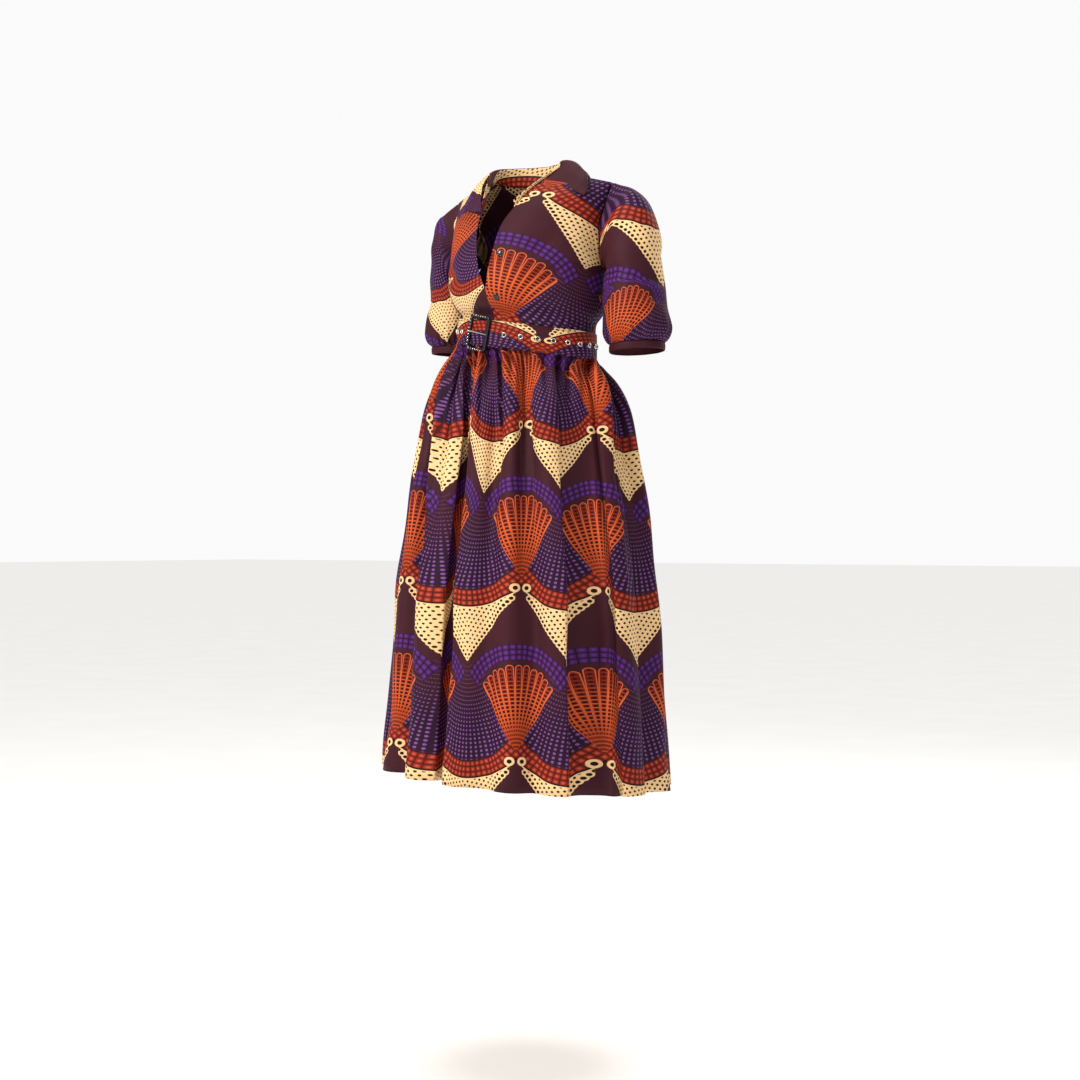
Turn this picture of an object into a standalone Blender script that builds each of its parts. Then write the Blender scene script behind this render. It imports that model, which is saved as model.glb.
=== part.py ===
"""A belted shirt dress of waxed print cotton, hollow and open, in the pose in which it is worn.

Metres, +Z up. The wearer faces -Y, and +X is the wearer's left. The origin lies between the two
shoulder seams, level with the neck's side points, where the shoulders hold the dress.
Left and right in names are the wearer's.
"""

import math
from functools import partial

import bpy
import numpy as np
from mathutils import Matrix, Vector

# Driving dimensions
CLOTH = 0.0016  # the wall, two thicknesses of printed cotton at a turned edge
SLEEVE_WALL = 0.0012
GAP = 0.0004  # between pieces at a seam
SHOULDER_TIP = (0.173, 0.020, -0.036)
NECK_SIDE = (0.070, 0.004, -0.008)
WAIST_Z = -0.305
WAIST_TILT_FADE = 0.055
HEM_Z = -1.097
HEM_TILT = 0.017  # the hem hangs this much lower on one side, as the wearer steps
HEM_TILT_FROM = 35.0  # degrees round from the centre front, where the tilted hem is level
BELT_HEIGHT = 0.048
BELT_WALL = 0.0026
WAIST_TILT = 0.020  # the waist hangs this much lower at the wearer's left, and higher at the right
EYELET_FIRST = 10.4  # degrees round from the centre front
EYELET_PITCH = 13.1
EYELETS = 25
EYELET_RADIUS = 0.0040
EYELET_WIRE = 0.0012
BUTTON_RADIUS = 0.006
CUFF_HEIGHT = 0.014

# How finely the pieces are drawn
BODICE_COLUMNS = 10
ROWS_BELOW_ARMPIT = 8
ROWS_ABOVE_ARMPIT = 15
SLEEVE_COLUMNS = 2 * ROWS_ABOVE_ARMPIT
SLEEVE_FIRST_ROWS = (0.0, 0.45)  # the rest are at the rings
COLUMNS_PER_FOLD = 7
SKIRT_ROWS = 11

PRINT_COLOUR = (0.07, 0.012, 0.03, 1.0)
METAL_COLOUR = (0.72, 0.72, 0.74, 1.0)
DARK_COLOUR = (0.012, 0.012, 0.02, 1.0)


def table(columns, *rows):
    """Rows of numbers as one array for each named column."""
    return dict(zip(columns.split(), np.array(rows, float).T))


# Sections of one front, from the waist seam up to the shoulder seam. A section runs from its inner
# end, at the centre front or the neck edge, to its outer end, at the side seam or the armhole.
# open_x is the inner end of the right front, which stands open and laps under below the opening.
FRONT = table(
    "x_in   open_x   y_in    z_in    x_out   y_out   z_out   sweep",
    (0.000, -0.018, -0.0985, -0.3050, 0.1320, 0.004, -0.3050, 90),
    (0.000, -0.018, -0.0990, -0.2740, 0.1325, 0.006, -0.2740, 90),
    (0.000, -0.012, -0.1160, -0.2500, 0.1470, 0.013, -0.2520, 90),
    (0.001, 0.004, -0.1270, -0.2250, 0.1540, 0.021, -0.2250, 90),
    (0.004, 0.020, -0.1230, -0.1900, 0.1565, 0.021, -0.1900, 90),
    (0.005, 0.023, -0.1210, -0.1810, 0.1550, 0.011, -0.1810, 89),
    (0.008, 0.030, -0.1140, -0.1550, 0.1520, 0.008, -0.1550, 87),
    (0.014, 0.038, -0.1000, -0.1150, 0.1520, 0.007, -0.1150, 82),
    (0.031, 0.042, -0.0800, -0.0780, 0.1610, 0.011, -0.0760, 66),
    (0.070, 0.070, 0.0040, -0.0080, 0.1730, 0.020, -0.0360, 2),
)

# The same for half of the back, from its centre line out to the side seam or the armhole.
BACK = table(
    "x_in   y_in    z_in    x_out   y_out   z_out   sweep",
    (0.000, 0.0940, -0.3050, 0.1320, 0.004, -0.3050, 90),
    (0.000, 0.0950, -0.2740, 0.1325, 0.006, -0.2740, 90),
    (0.000, 0.1070, -0.2500, 0.1470, 0.013, -0.2520, 90),
    (0.000, 0.1120, -0.2250, 0.1540, 0.021, -0.2250, 90),
    (0.000, 0.1140, -0.1900, 0.1565, 0.021, -0.1900, 90),
    (0.000, 0.1145, -0.1810, 0.1550, 0.040, -0.1815, 84),
    (0.000, 0.1150, -0.1550, 0.1520, 0.060, -0.1580, 76),
    (0.000, 0.1120, -0.1150, 0.1500, 0.074, -0.1180, 60),
    (0.000, 0.1000, -0.0700, 0.1610, 0.062, -0.0740, 48),
)
ARMHOLE_FROM = 4  # the row of FRONT and BACK at the armpit
NECK_SHARE = 0.42  # the share of half the back's top edge that is neckline, the rest is shoulder
BACK_NECK = (0.064, -0.012)  # y and z of the neckline at the centre back

# Rings of a sleeve below its armhole. The underarm point is where a ring is nearest the body, tilt
# is how far the ring has turned from upright to level, reach its size from there outwards and
# depth its half size from front to back. back, inward and up move the rings of the right sleeve,
# on the arm that swings back, of which the underarm point takes the share under. slim takes in
# their outer side.
SLEEVE = table(
    "under_x under_z tilt  reach  depth  y      back   under inward up     slim",
    (0.1650, -0.1930, 19.3, 0.149, 0.0430, 0.027, 0.001, 0.00, -0.002, 0.000, 0.010),
    (0.1665, -0.1965, 35.0, 0.136, 0.0490, 0.027, 0.010, 0.10, -0.002, 0.000, 0.018),
    (0.1665, -0.2020, 52.6, 0.116, 0.0530, 0.026, 0.028, 0.15, 0.001, 0.000, 0.014),
    (0.1645, -0.2110, 71.5, 0.105, 0.0550, 0.024, 0.038, 0.30, 0.003, 0.002, 0.008),
    (0.1630, -0.2340, 80.7, 0.106, 0.0570, 0.021, 0.044, 0.70, 0.007, 0.008, 0.003),
    (0.1635, -0.2680, 83.4, 0.113, 0.0595, 0.020, 0.047, 0.95, 0.010, 0.015, 0.000),
    (0.1640, -0.3030, 85.0, 0.119, 0.0610, 0.020, 0.048, 1.00, 0.010, 0.020, 0.000),
    (0.1700, -0.3200, 86.0, 0.107, 0.0550, 0.021, 0.048, 1.00, 0.009, 0.022, 0.000),
    (0.1740, -0.3270, 87.0, 0.097, 0.0490, 0.022, 0.048, 1.00, 0.009, 0.024, 0.000),
)
ARMPIT_ROUND = 0.35  # of a turn's radians to each side of the armpit
SLEEVE_GATHERS = 10
SLEEVE_GATHER_DEPTH = 0.0022

# The skirt's outer form at its ridges: half its width and half its depth at each height.
SKIRT = table(
    "z      width   depth",
    (-0.305, 0.1325, 0.0985),
    (-0.334, 0.1345, 0.1000),
    (-0.352, 0.1430, 0.1110),
    (-0.380, 0.1640, 0.1350),
    (-0.422, 0.1840, 0.1580),
    (-0.500, 0.2020, 0.1790),
    (-0.620, 0.2260, 0.2040),
    (-0.770, 0.2480, 0.2250),
    (-0.940, 0.2590, 0.2390),
    (-1.097, 0.2720, 0.2540),
)
# The skirt's folds in their order round it. waist and hem are the angles of a fold's valley,
# counted from the centre front towards the wearer's left. before and after are the reach of the
# valley's two flanks, as shares of the way to the next valley, flat is how flat its floor is.
FOLDS = table(
    "waist  hem   before after flat depth",
    (-46, -7, 0.20, 0.20, 2, 0.030),
    (-13, 16, 0.32, 0.26, 2, 0.020),
    (23, 36, 0.26, 0.20, 2, 0.022),
    (81, 61, 0.34, 0.30, 4, 0.026),
    (128, 94, 0.22, 0.26, 2, 0.026),
    (143, 117, 0.24, 0.22, 2, 0.024),
    (159, 143, 0.20, 0.28, 2, 0.030),
    (174, 166, 0.30, 0.22, 3, 0.022),
    (189, 191, 0.22, 0.24, 2, 0.028),
    (205, 216, 0.26, 0.20, 2, 0.024),
    (220, 240, 0.20, 0.26, 2, 0.030),
    (236, 266, 0.30, 0.24, 3, 0.024),
    (252, 289, 0.22, 0.24, 2, 0.026),
    (271, 311, 0.24, 0.22, 2, 0.022),
    (291, 332, 0.22, 0.26, 2, 0.026),
)
FOLD_DEPTH = table(
    "z share",
    (-0.305, 0.05),
    (-0.334, 0.07),
    (-0.360, 0.28),
    (-0.400, 0.55),
    (-0.480, 0.85),
    (-0.620, 1.00),
    (-0.850, 1.00),
    (-1.097, 1.10),
)
FOLDS_SPREAD = 0.055  # how far below the waist the folds take to reach their own line
GATHER_DEPTH = 0.0035  # of the small gathers between folds, just below the belt
GATHERS_FADE = 0.060
SIDE_ANGLES = (90.0, 270.0)  # the side seams, round from the centre front

# The collar's fall, from the centre back round to its two front edges: the fold at the stand's
# top, the outer edge, and how far the fall stands above the straight line between them. The left
# end is spread wide over the shoulder and the right end less.
COLLAR_LEFT = table(
    "fold_x fold_y fold_z  edge_x edge_y edge_z  lift",
    (0.000, 0.0680, 0.0210, 0.000, 0.0860, -0.0240, 0.006),
    (0.044, 0.0540, 0.0210, 0.060, 0.0800, -0.0270, 0.009),
    (0.066, 0.0280, 0.0180, 0.110, 0.0500, -0.0240, 0.011),
    (0.074, 0.0040, 0.0120, 0.130, 0.0120, -0.0140, 0.008),
    (0.082, -0.0120, -0.0020, 0.150, -0.0300, -0.0500, 0.010),
)
COLLAR_RIGHT = table(
    "fold_x fold_y fold_z  edge_x edge_y edge_z  lift",
    (0.000, 0.0680, 0.0210, 0.000, 0.0860, -0.0240, 0.006),
    (-0.044, 0.0540, 0.0210, -0.060, 0.0800, -0.0270, 0.009),
    (-0.066, 0.0280, 0.0180, -0.106, 0.0500, -0.0240, 0.011),
    (-0.074, 0.0040, 0.0120, -0.117, 0.0100, -0.0110, 0.008),
    (-0.076, -0.0180, -0.0020, -0.106, -0.0540, -0.0480, 0.010),
)
COLLAR_WALL = 0.0018
STAND_INSET = 0.0018
STAND_END = 0.011  # the stand's height at its two front ends
STAND_PAST = 1.35  # how far the stand runs, as a multiple of the fall's length
STAND_FROM = 8.0  # the place among FRONT's rows where the stand's front end sits


def spline(knots, at):
    """A smooth curve through the rows of knots that never swings past them. at counts the rows.
    Each row's slope is the harmonic mean of the steps before and after it, or none at a turn."""
    knots = np.asarray(knots, float)
    steps = np.diff(knots, axis=0)
    steps = np.concatenate([steps[:1], steps, steps[-1:]])
    before, after = steps[:-1], steps[1:]
    same = before * after > 0
    slopes = np.where(same, 2 * before * after / np.where(same, before + after, 1), 0)
    at = np.clip(np.asarray(at, float), 0, len(knots) - 1 - 1e-9)
    row = at.astype(int)
    t = (at - row).reshape(at.shape + (1,) * (knots.ndim - 1))
    rise = t * t * (3 - 2 * t)
    leave, arrive = t * (1 - t) ** 2, -t * t * (1 - t)
    start, end = knots[row], knots[row + 1]
    return start + (end - start) * rise + slopes[row] * leave + slopes[row + 1] * arrive


def lean(points):
    """Points near the waist, moved down on the wearer's left and up on the right."""
    near = np.exp(-(((points[..., 2] - WAIST_Z) / WAIST_TILT_FADE) ** 2))
    drop = WAIST_TILT * points[..., 0] / 0.134 * near
    return points - np.stack([0 * drop, 0 * drop, drop], axis=-1)


def sections(form, inner_x, u):
    """Every section of a panel as points [section, u]: arcs of ellipses from inner to outer end.
    A sweep of 90 degrees is a quarter of an ellipse, and a small one is nearly straight."""
    turn = np.radians(form["sweep"])[:, None]
    x_in, x_out = inner_x[:, None], form["x_out"][:, None]
    y_in, y_out = form["y_in"][:, None], form["y_out"][:, None]
    x = x_in + (x_out - x_in) * np.sin(u * turn) / np.sin(turn)
    y = y_out + (y_in - y_out) * (np.cos(u * turn) - np.cos(turn)) / (1 - np.cos(turn))
    z = form["z_in"][:, None] + (form["z_out"] - form["z_in"])[:, None] * u
    return np.stack([x, y, z], axis=-1)


def front(u, v, right=False):
    """The front's outer surface, points [v, u]: u runs from the front edge to the side, v counts
    the rows of FRONT. The right front is the mirror image, further open and a little flatter,
    so that it passes under the left one."""
    form = dict(FRONT)
    if right:
        form["y_in"] = FRONT["y_in"] + 0.0035 * np.clip((-0.1 - FRONT["z_in"]) / 0.1, 0, 1)
    knots = sections(form, form["open_x" if right else "x_in"], u)
    behind = sections(BACK, BACK["x_in"], NECK_SHARE + (1 - NECK_SHARE) * u)[-1]
    points = spline(np.concatenate([knots, [behind]]), np.minimum(v, len(knots) - 1))
    return lean(points * ((-1 if right else 1), 1, 1))


def back(u, v):
    """The back's outer surface, points [v, u]: u runs from -1, the right side, to 1, the left.
    Its top edge is neckline in the middle and shoulder seam outside it."""
    half = np.abs(u)
    knots = sections(BACK, BACK["x_in"], half)
    on_neck = np.clip(half / NECK_SHARE, 0, 1)
    out = np.clip((half - NECK_SHARE) / (1 - NECK_SHARE), 0, 1)
    neck_x, neck_y, neck_z = NECK_SIDE
    tip_x, tip_y, tip_z = SHOULDER_TIP
    turn = on_neck * math.pi / 2
    top = np.stack(
        [
            neck_x * np.sin(turn) + (tip_x - neck_x) * out,
            neck_y + (BACK_NECK[0] - neck_y) * np.cos(turn) + (tip_y - neck_y) * out,
            neck_z + (BACK_NECK[1] - neck_z) * np.cos(turn) + (tip_z - neck_z) * out,
        ],
        axis=-1,
    )
    ahead = sections(FRONT, FRONT["x_in"], out)[-2]
    risen = 2 * top - knots[-1]
    ahead = np.where((half > NECK_SHARE)[:, None], ahead, risen)
    points = spline(np.concatenate([knots, [top, ahead]]), np.minimum(v, len(knots)))
    side = np.where(u < 0, -1.0, 1.0)
    return lean(points * np.stack([side, np.ones_like(u), np.ones_like(u)], axis=-1))


def armhole(tau, right=False):
    """An armhole's edge: tau runs from 0 at the armpit, up the front to half a turn at the
    shoulder, and down the back."""
    share = tau / math.pi % 2
    up = ARMHOLE_FROM + (len(FRONT["z_in"]) - 1 - ARMHOLE_FROM) * share
    down = ARMHOLE_FROM + (len(BACK["z_in"]) - ARMHOLE_FROM) * (2 - share)
    rise = front(np.array([1.0]), up, right)[:, 0]
    fall = back(np.array([-1.0 if right else 1.0]), down)[:, 0]
    return np.where((share <= 1)[:, None], rise, fall)


def sleeve_head(tau, right=False):
    """A sleeve's first ring: the armhole's edge, rounded off where it is pointed at the armpit."""
    beside = (armhole(tau - ARMPIT_ROUND, right) + armhole(tau + ARMPIT_ROUND, right)) / 2
    from_armpit = np.abs((tau + math.pi) % (2 * math.pi) - math.pi)
    near = np.exp(-((from_armpit / ARMPIT_ROUND) ** 2))[:, None]
    return armhole(tau, right) * (1 - near) + beside * near


def sleeve(tau, v, right=False):
    """A sleeve's outer surface, points [v, tau], from its armhole (v 0) to its cuff."""
    side = -1 if right else 1
    rings = [sleeve_head(tau, right) + np.array([side * GAP * 2.5, 0, 0])]
    for row in range(len(SLEEVE["tilt"])):
        ring = {name: column[row] for name, column in SLEEVE.items()}
        tilt = math.radians(ring["tilt"])
        across = ring["reach"] / 2 * (1 - np.cos(tau))
        x = ring["under_x"] + across * math.sin(tilt)
        y = ring["y"] - ring["depth"] * np.sin(tau)
        z = ring["under_z"] + across * math.cos(tilt)
        if right:
            x = x - ring["inward"] - ring["slim"] * (1 - np.cos(tau)) / 2
            outer = (1 - np.cos(tau)) / 2
            y = y + ring["back"] * (ring["under"] + (1 - ring["under"]) * outer)
            z = z + ring["up"]
        rings.append(np.stack([side * x, y, z], axis=-1))
    points = spline(np.array(rings), v)
    from_cuff = (len(rings) - 1 - v)[:, None]
    wave = SLEEVE_GATHER_DEPTH * np.exp(-(((from_cuff - 1.2) / 0.9) ** 2))
    wave = wave * np.cos(SLEEVE_GATHERS * tau)
    away = points - points.mean(axis=1, keepdims=True)
    away = away / np.linalg.norm(away, axis=-1, keepdims=True)
    return points + away * wave[..., None]


def around(values, phase):
    """A smooth value round the skirt: values holds one for each fold, phase counts the folds."""
    count = len(values)
    turn = 360.0
    ring = np.concatenate([values - turn, values, values + turn])
    return spline(ring, phase + count)


def skirt(phase, v):
    """The skirt's outer surface, points [v, phase]. phase counts the folds, and v the rows of
    SKIRT. Each valley is a bell-shaped trough below the ridges' form."""
    z = spline(SKIRT["z"], v)
    width = spline(SKIRT["width"], v)[:, None]
    depth = spline(SKIRT["depth"], v)[:, None]
    fall = np.maximum(WAIST_Z - z, 0)[:, None]
    at_waist = around(FOLDS["waist"], phase)
    at_hem = around(FOLDS["hem"], phase)
    angle = np.radians(at_hem + (at_waist - at_hem) * np.exp(-fall / FOLDS_SPREAD))
    count = len(FOLDS["waist"])
    nearest = np.round(phase).astype(int)
    away = phase - nearest
    fold = nearest % count
    reach = np.where(away < 0, FOLDS["before"][fold], FOLDS["after"][fold])
    trough = FOLDS["depth"][fold] * np.exp(-np.abs(away / reach) ** FOLDS["flat"][fold])
    share = np.interp(-z, -FOLD_DEPTH["z"], FOLD_DEPTH["share"])[:, None]
    inwards = trough * share
    small = GATHER_DEPTH * np.exp(-(((fall - 0.055) / GATHERS_FADE) ** 2))
    small = small * (1 - np.exp(-fall / 0.015))
    inwards = inwards + small * (1 + np.cos(4 * math.pi * (phase - 0.25))) / 2
    x, y = width * np.sin(angle), -depth * np.cos(angle)
    normal = np.stack([x / width**2, y / depth**2], axis=-1)
    normal = normal / np.linalg.norm(normal, axis=-1, keepdims=True)
    drop = fall / (WAIST_Z - HEM_Z)
    low = z[:, None] - HEM_TILT * drop * np.sin(angle - math.radians(HEM_TILT_FROM))
    low = low - WAIST_TILT * np.sin(angle) * np.exp(-((fall / 0.25) ** 2))
    return np.stack([x - normal[..., 0] * inwards, y - normal[..., 1] * inwards, low], axis=-1)


def phase_at(angle):
    """The place among the folds where the skirt's hem is at this angle, in degrees."""
    phases = np.linspace(0, len(FOLDS["hem"]), 2000)
    return float(np.interp(angle, around(FOLDS["hem"], phases), phases))


def trim(points, left=0.0, right=0.0, bottom=0.0, top=0.0):
    """Draws a grid's four edges in by these lengths, for the gaps at its seams."""
    points = points.copy()
    for index, beside, amount, axis in (
        (0, 1, left, 1),
        (-1, -2, right, 1),
        (0, 1, bottom, 0),
        (-1, -2, top, 0),
    ):
        lines = points.swapaxes(0, axis)
        step = lines[beside] - lines[index]
        length = np.linalg.norm(step, axis=-1, keepdims=True)
        lines[index] += step / np.maximum(length, 1e-9) * amount
    return points


def material(name, colour, roughness, metallic=0.0):
    made = bpy.data.materials.new(name)
    made.use_nodes = True
    shader = made.node_tree.nodes["Principled BSDF"]
    shader.inputs["Base Color"].default_value = colour
    shader.inputs["Roughness"].default_value = roughness
    shader.inputs["Metallic"].default_value = metallic
    return made


def link(name, mesh, look):
    """A new object in the scene, with this mesh and material."""
    mesh.materials.append(look)
    made = bpy.data.objects.new(name, mesh)
    bpy.context.scene.collection.objects.link(made)
    return made


def outward(surface, u, v, flip):
    """A surface's outward direction over the grid [v, u], from small steps along it."""
    small = 1e-4
    across = surface(u + small, v) - surface(u - small, v)
    ends = np.clip(v + small, v.min(), v.max()), np.clip(v - small, v.min(), v.max())
    along = surface(u, ends[0]) - surface(u, ends[1])
    normal = np.cross(along, across) if flip else np.cross(across, along)
    return normal / np.linalg.norm(normal, axis=-1, keepdims=True)


def cloth(name, surface, u, v, look, wrap=False, flip=False, wall=CLOTH, gaps=(0, 0, 0, 0)):
    """A piece of cloth from a surface that gives its outer points [v, u], with its inner face a
    wall further in. wrap joins the last column to the first, flip turns the outside round, and
    gaps draw in the edges at the first u, the last u, the first v and the last v."""
    outer = surface(u, v)
    inner = outer - outward(surface, u, v, flip) * wall
    rows, columns = outer.shape[:2]
    index = np.arange(rows * columns).reshape(rows, columns)
    if wrap:
        index = np.concatenate([index, index[:, :1]], axis=1)
    quads = []
    for low, turned in ((index, flip), (index + rows * columns, not flip)):
        part = [low[:-1, :-1], low[:-1, 1:], low[1:, 1:], low[1:, :-1]]
        quads.append(np.stack([side.ravel() for side in part[:: -1 if turned else 1]], axis=-1))
    edges = [index[0], index[-1, ::-1]]
    if not wrap:
        edges += [index[::-1, 0], index[:, -1]]
    for line in edges:
        part = [line[1:], line[:-1], line[:-1] + rows * columns, line[1:] + rows * columns]
        quads.append(np.stack(part[:: -1 if flip else 1], axis=-1))
    mesh = bpy.data.meshes.new(name)
    both = np.concatenate([trim(outer, *gaps).reshape(-1, 3), trim(inner, *gaps).reshape(-1, 3)])
    mesh.from_pydata(both.tolist(), [], np.concatenate(quads).tolist())
    mesh.shade_smooth()
    return link(name, mesh, look)


def make_bodice(look):
    """Two fronts, the left lapped over the right, and one back, joined at sides and shoulders."""
    seam, waist = GAP / 2, GAP * 1.5
    below = np.linspace(0, ARMHOLE_FROM, ROWS_BELOW_ARMPIT + 1)
    above = np.linspace(ARMHOLE_FROM, len(BACK["z_in"]), ROWS_ABOVE_ARMPIT + 1)
    v = np.concatenate([below, above[1:]])
    u = np.linspace(0, 1, BODICE_COLUMNS)
    edges = (0, seam, waist, seam)
    cloth("front_left", front, u, v, look, gaps=edges)
    cloth("front_right", partial(front, right=True), u, v, look, flip=True, gaps=edges)
    u = np.linspace(-1, 1, 2 * BODICE_COLUMNS - 1)
    cloth("back", back, u, v, look, flip=True, gaps=(seam, seam, waist, seam))


def make_sleeves(look):
    """Two elbow sleeves set into the armholes and gathered into narrow cuffs."""
    tau = np.linspace(0, 2 * math.pi, SLEEVE_COLUMNS, endpoint=False)
    v = np.append(SLEEVE_FIRST_ROWS, np.arange(1.0, len(SLEEVE["tilt"]) + 1))
    for name, right in (("left", False), ("right", True)):
        form = partial(sleeve, right=right)
        turned = not right
        cloth(f"sleeve_{name}", form, tau, v, look, wrap=True, flip=turned, wall=SLEEVE_WALL)
        form = partial(cuff, right=right)
        height = np.array([0.0, 0.5, 1.0])
        cloth(f"cuff_{name}", form, tau, height, look, wrap=True, flip=turned)


def cuff(tau, height, right=False):
    """A cuff's outer surface, points [height, tau], straight down from the sleeve's end."""
    ring = sleeve(tau, np.array([len(SLEEVE["tilt"]) * 1.0]), right)[0]
    centre = sleeve(np.arange(24) * math.pi / 12, np.array([len(SLEEVE["tilt"]) * 1.0]), right)
    centre = centre.mean(axis=(0, 1))
    drop = GAP * 2 + height * CUFF_HEIGHT
    return centre + (ring - centre) * 0.995 - drop[:, None, None] * np.array([0, 0, 1.0])


def make_skirt(look):
    """A gathered front and back, joined at the side seams."""
    count = len(FOLDS["hem"])
    v = np.linspace(0, len(SKIRT["z"]) - 1, SKIRT_ROWS)
    left, right = phase_at(SIDE_ANGLES[0]), phase_at(SIDE_ANGLES[1])
    for name, start, end in (("skirt_front", right - count, left), ("skirt_back", left, right)):
        columns = round((end - start) * COLUMNS_PER_FOLD)
        phase = np.linspace(start, end, columns + 1)
        gaps = (GAP * 1.3, GAP * 1.3, GAP * 1.5, 0)
        cloth(name, skirt, phase, v, look, flip=True, gaps=gaps)


def neckline(share):
    """The bodice's neck edge, drawn a little away from the cloth below it: share runs from 0 at
    the left front end, round the back, to 1."""
    v = np.linspace(STAND_FROM, len(FRONT["z_in"]) - 1, 9)
    edge = np.array([0.0, 0.03])
    last = len(BACK["z_in"]) * 1.0
    across = np.linspace(NECK_SHARE, -NECK_SHARE, 17)[1:-1]
    left, right = front(edge, v), front(edge, v, right=True)[::-1]
    behind = back(across, np.array([last, last - 0.1])).swapaxes(0, 1)
    path = np.concatenate([left, behind, right])
    away = path[:, 0] - path[:, 1]
    away = away / np.linalg.norm(away, axis=-1, keepdims=True)
    path = path[:, 0] + away * GAP * 2
    length = np.concatenate([[0], np.cumsum(np.linalg.norm(np.diff(path, axis=0), axis=1))])
    return np.stack([np.interp(share * length[-1], length, path[:, i]) for i in range(3)], axis=-1)


def collar_line(kind, half):
    """The collar's fold or edge line as points, half running from the right end at -1, through
    the centre back at 0, to the left end at 1."""
    at = np.abs(half) * (len(COLLAR_LEFT["lift"]) - 1)
    columns = [
        np.where(half < 0, spline(COLLAR_RIGHT[column], at), spline(COLLAR_LEFT[column], at))
        for column in (f"{kind}_x", f"{kind}_y", f"{kind}_z")
    ]
    return np.stack(columns, axis=-1)


def collar_stand(share, height):
    """The stand's outer surface, points [height, share]: up from the neckline to just under the
    fold, and in front of the fold's ends down to a low strip along the neckline."""
    base = neckline(share)
    half = (1 - 2 * share) * STAND_PAST
    fold = collar_line("fold", np.clip(half, -1, 1))
    inwards = (fold - collar_line("edge", np.clip(half, -1, 1))) * np.array([1.0, 1.0, 0.0])
    inwards = inwards / np.linalg.norm(inwards, axis=-1, keepdims=True)
    fold = fold + inwards * STAND_INSET - np.array([0, 0, COLLAR_WALL])
    past = np.clip((np.abs(half) - 1) / (STAND_PAST - 1), 0, 1)[:, None]
    low = base + np.array([0, -0.002, STAND_END])
    top = fold + (low - fold) * past**0.6
    return base + (top - base) * height[:, None, None]


def collar_fall(half, w):
    """The fall's upper surface, points [w, half], arched from the fold (w 0) to its edge."""
    at = np.abs(half) * (len(COLLAR_LEFT["lift"]) - 1)
    fold, edge = collar_line("fold", half), collar_line("edge", half)
    w = w[:, None, None]
    arch = 4 * w * (1 - w) * spline(COLLAR_LEFT["lift"], at)[None, :, None]
    return fold + (edge - fold) * w + arch * np.array([0, 0, 1.0])


def make_collar(look):
    """A stand along the neckline, and a fall turned down over it and spread to two points."""
    share, height = np.linspace(0, 1, 31), np.linspace(0, 1, 4)
    cloth("collar_stand", collar_stand, share, height, look, wall=0.0014)
    half, w = np.linspace(-1, 1, 23), np.linspace(0, 1, 6)
    cloth("collar_fall", collar_fall, half, w, look, wall=COLLAR_WALL)


def belt_at(angle, out, height):
    """A point on the belt: angle in degrees round from the centre front, out from the waist."""
    turn = np.radians(angle)
    width, depth = 0.1345 + out, 0.1000 + out
    x, y = width * np.sin(turn), -depth * np.cos(turn)
    z = WAIST_Z + height - WAIST_TILT * np.sin(turn)
    return np.stack([x, y, z], axis=-1)


BUCKLE_ANGLE = -13.0
BELT_START = BUCKLE_ANGLE + 4
BELT_INNER = 0.0001
BELT_LAP = BELT_WALL + 0.0007
BELT_TAIL = 44.0  # degrees of the belt's free end past the buckle


def belt_out(along):
    """How far the belt's outer face stands off the waist, along being degrees from its start."""
    climb = np.clip((along - 300) / 40, 0, 1)
    return BELT_INNER + BELT_WALL + BELT_LAP * climb**2 * (3 - 2 * climb)


def belt(along, height):
    """The belt's outer face, points [height, along], with a pointed end."""
    narrow = 1 - 0.8 * np.clip((along - (360 + BELT_TAIL - 7)) / 7, 0, 1)
    angle = BELT_START - along
    rows = [belt_at(angle, belt_out(along), high * narrow * BELT_HEIGHT / 2) for high in height]
    return np.stack(rows)


def make_belt(look, metal, dark):
    """One strap that starts at the buckle, goes round behind and comes back through it."""
    along = np.concatenate([np.linspace(0, 353 + BELT_TAIL, 62), [357 + BELT_TAIL, 360 + BELT_TAIL]])
    cloth("belt", belt, along, np.array([-1.0, 0.0, 1.0]), look, flip=True, wall=BELT_WALL)
    for number in range(EYELETS):
        angle = EYELET_FIRST + EYELET_PITCH * number
        along = (BELT_START - angle) % 360
        out = float(belt_out(np.array(along + 360 if along < BELT_TAIL else along)))
        point, normal = on_belt(angle, out + GAP + EYELET_WIRE)
        ring(f"eyelet_{number + 1:02d}", point, normal, EYELET_RADIUS, EYELET_WIRE, metal)
    make_buckle(dark, metal)


def on_belt(angle, out):
    """A point out from the waist at this angle, and the outward direction there."""
    ahead = belt_at(angle + 0.5, out, 0.0) - belt_at(angle - 0.5, out, 0.0)
    return belt_at(angle, out, 0.0), Vector((ahead[1], -ahead[0], 0)).normalized()


def turned_to(normal):
    """The rotation that takes +Z to this direction and keeps +Y as upright as it can."""
    return normal.to_track_quat("Z", "Y").to_matrix().to_4x4()


def ring(name, point, normal, radius, wire, look):
    """A round metal ring lying on a face whose outward direction is normal."""
    turn = np.arange(12) * math.pi / 6
    path = radius * np.stack([np.cos(turn), np.sin(turn), 0 * turn], axis=-1)
    place = Matrix.Translation(Vector(point)) @ turned_to(normal)
    return bar(name, path, (0, 0, 1), wire, look, place, sides=4, closed=True)


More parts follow.
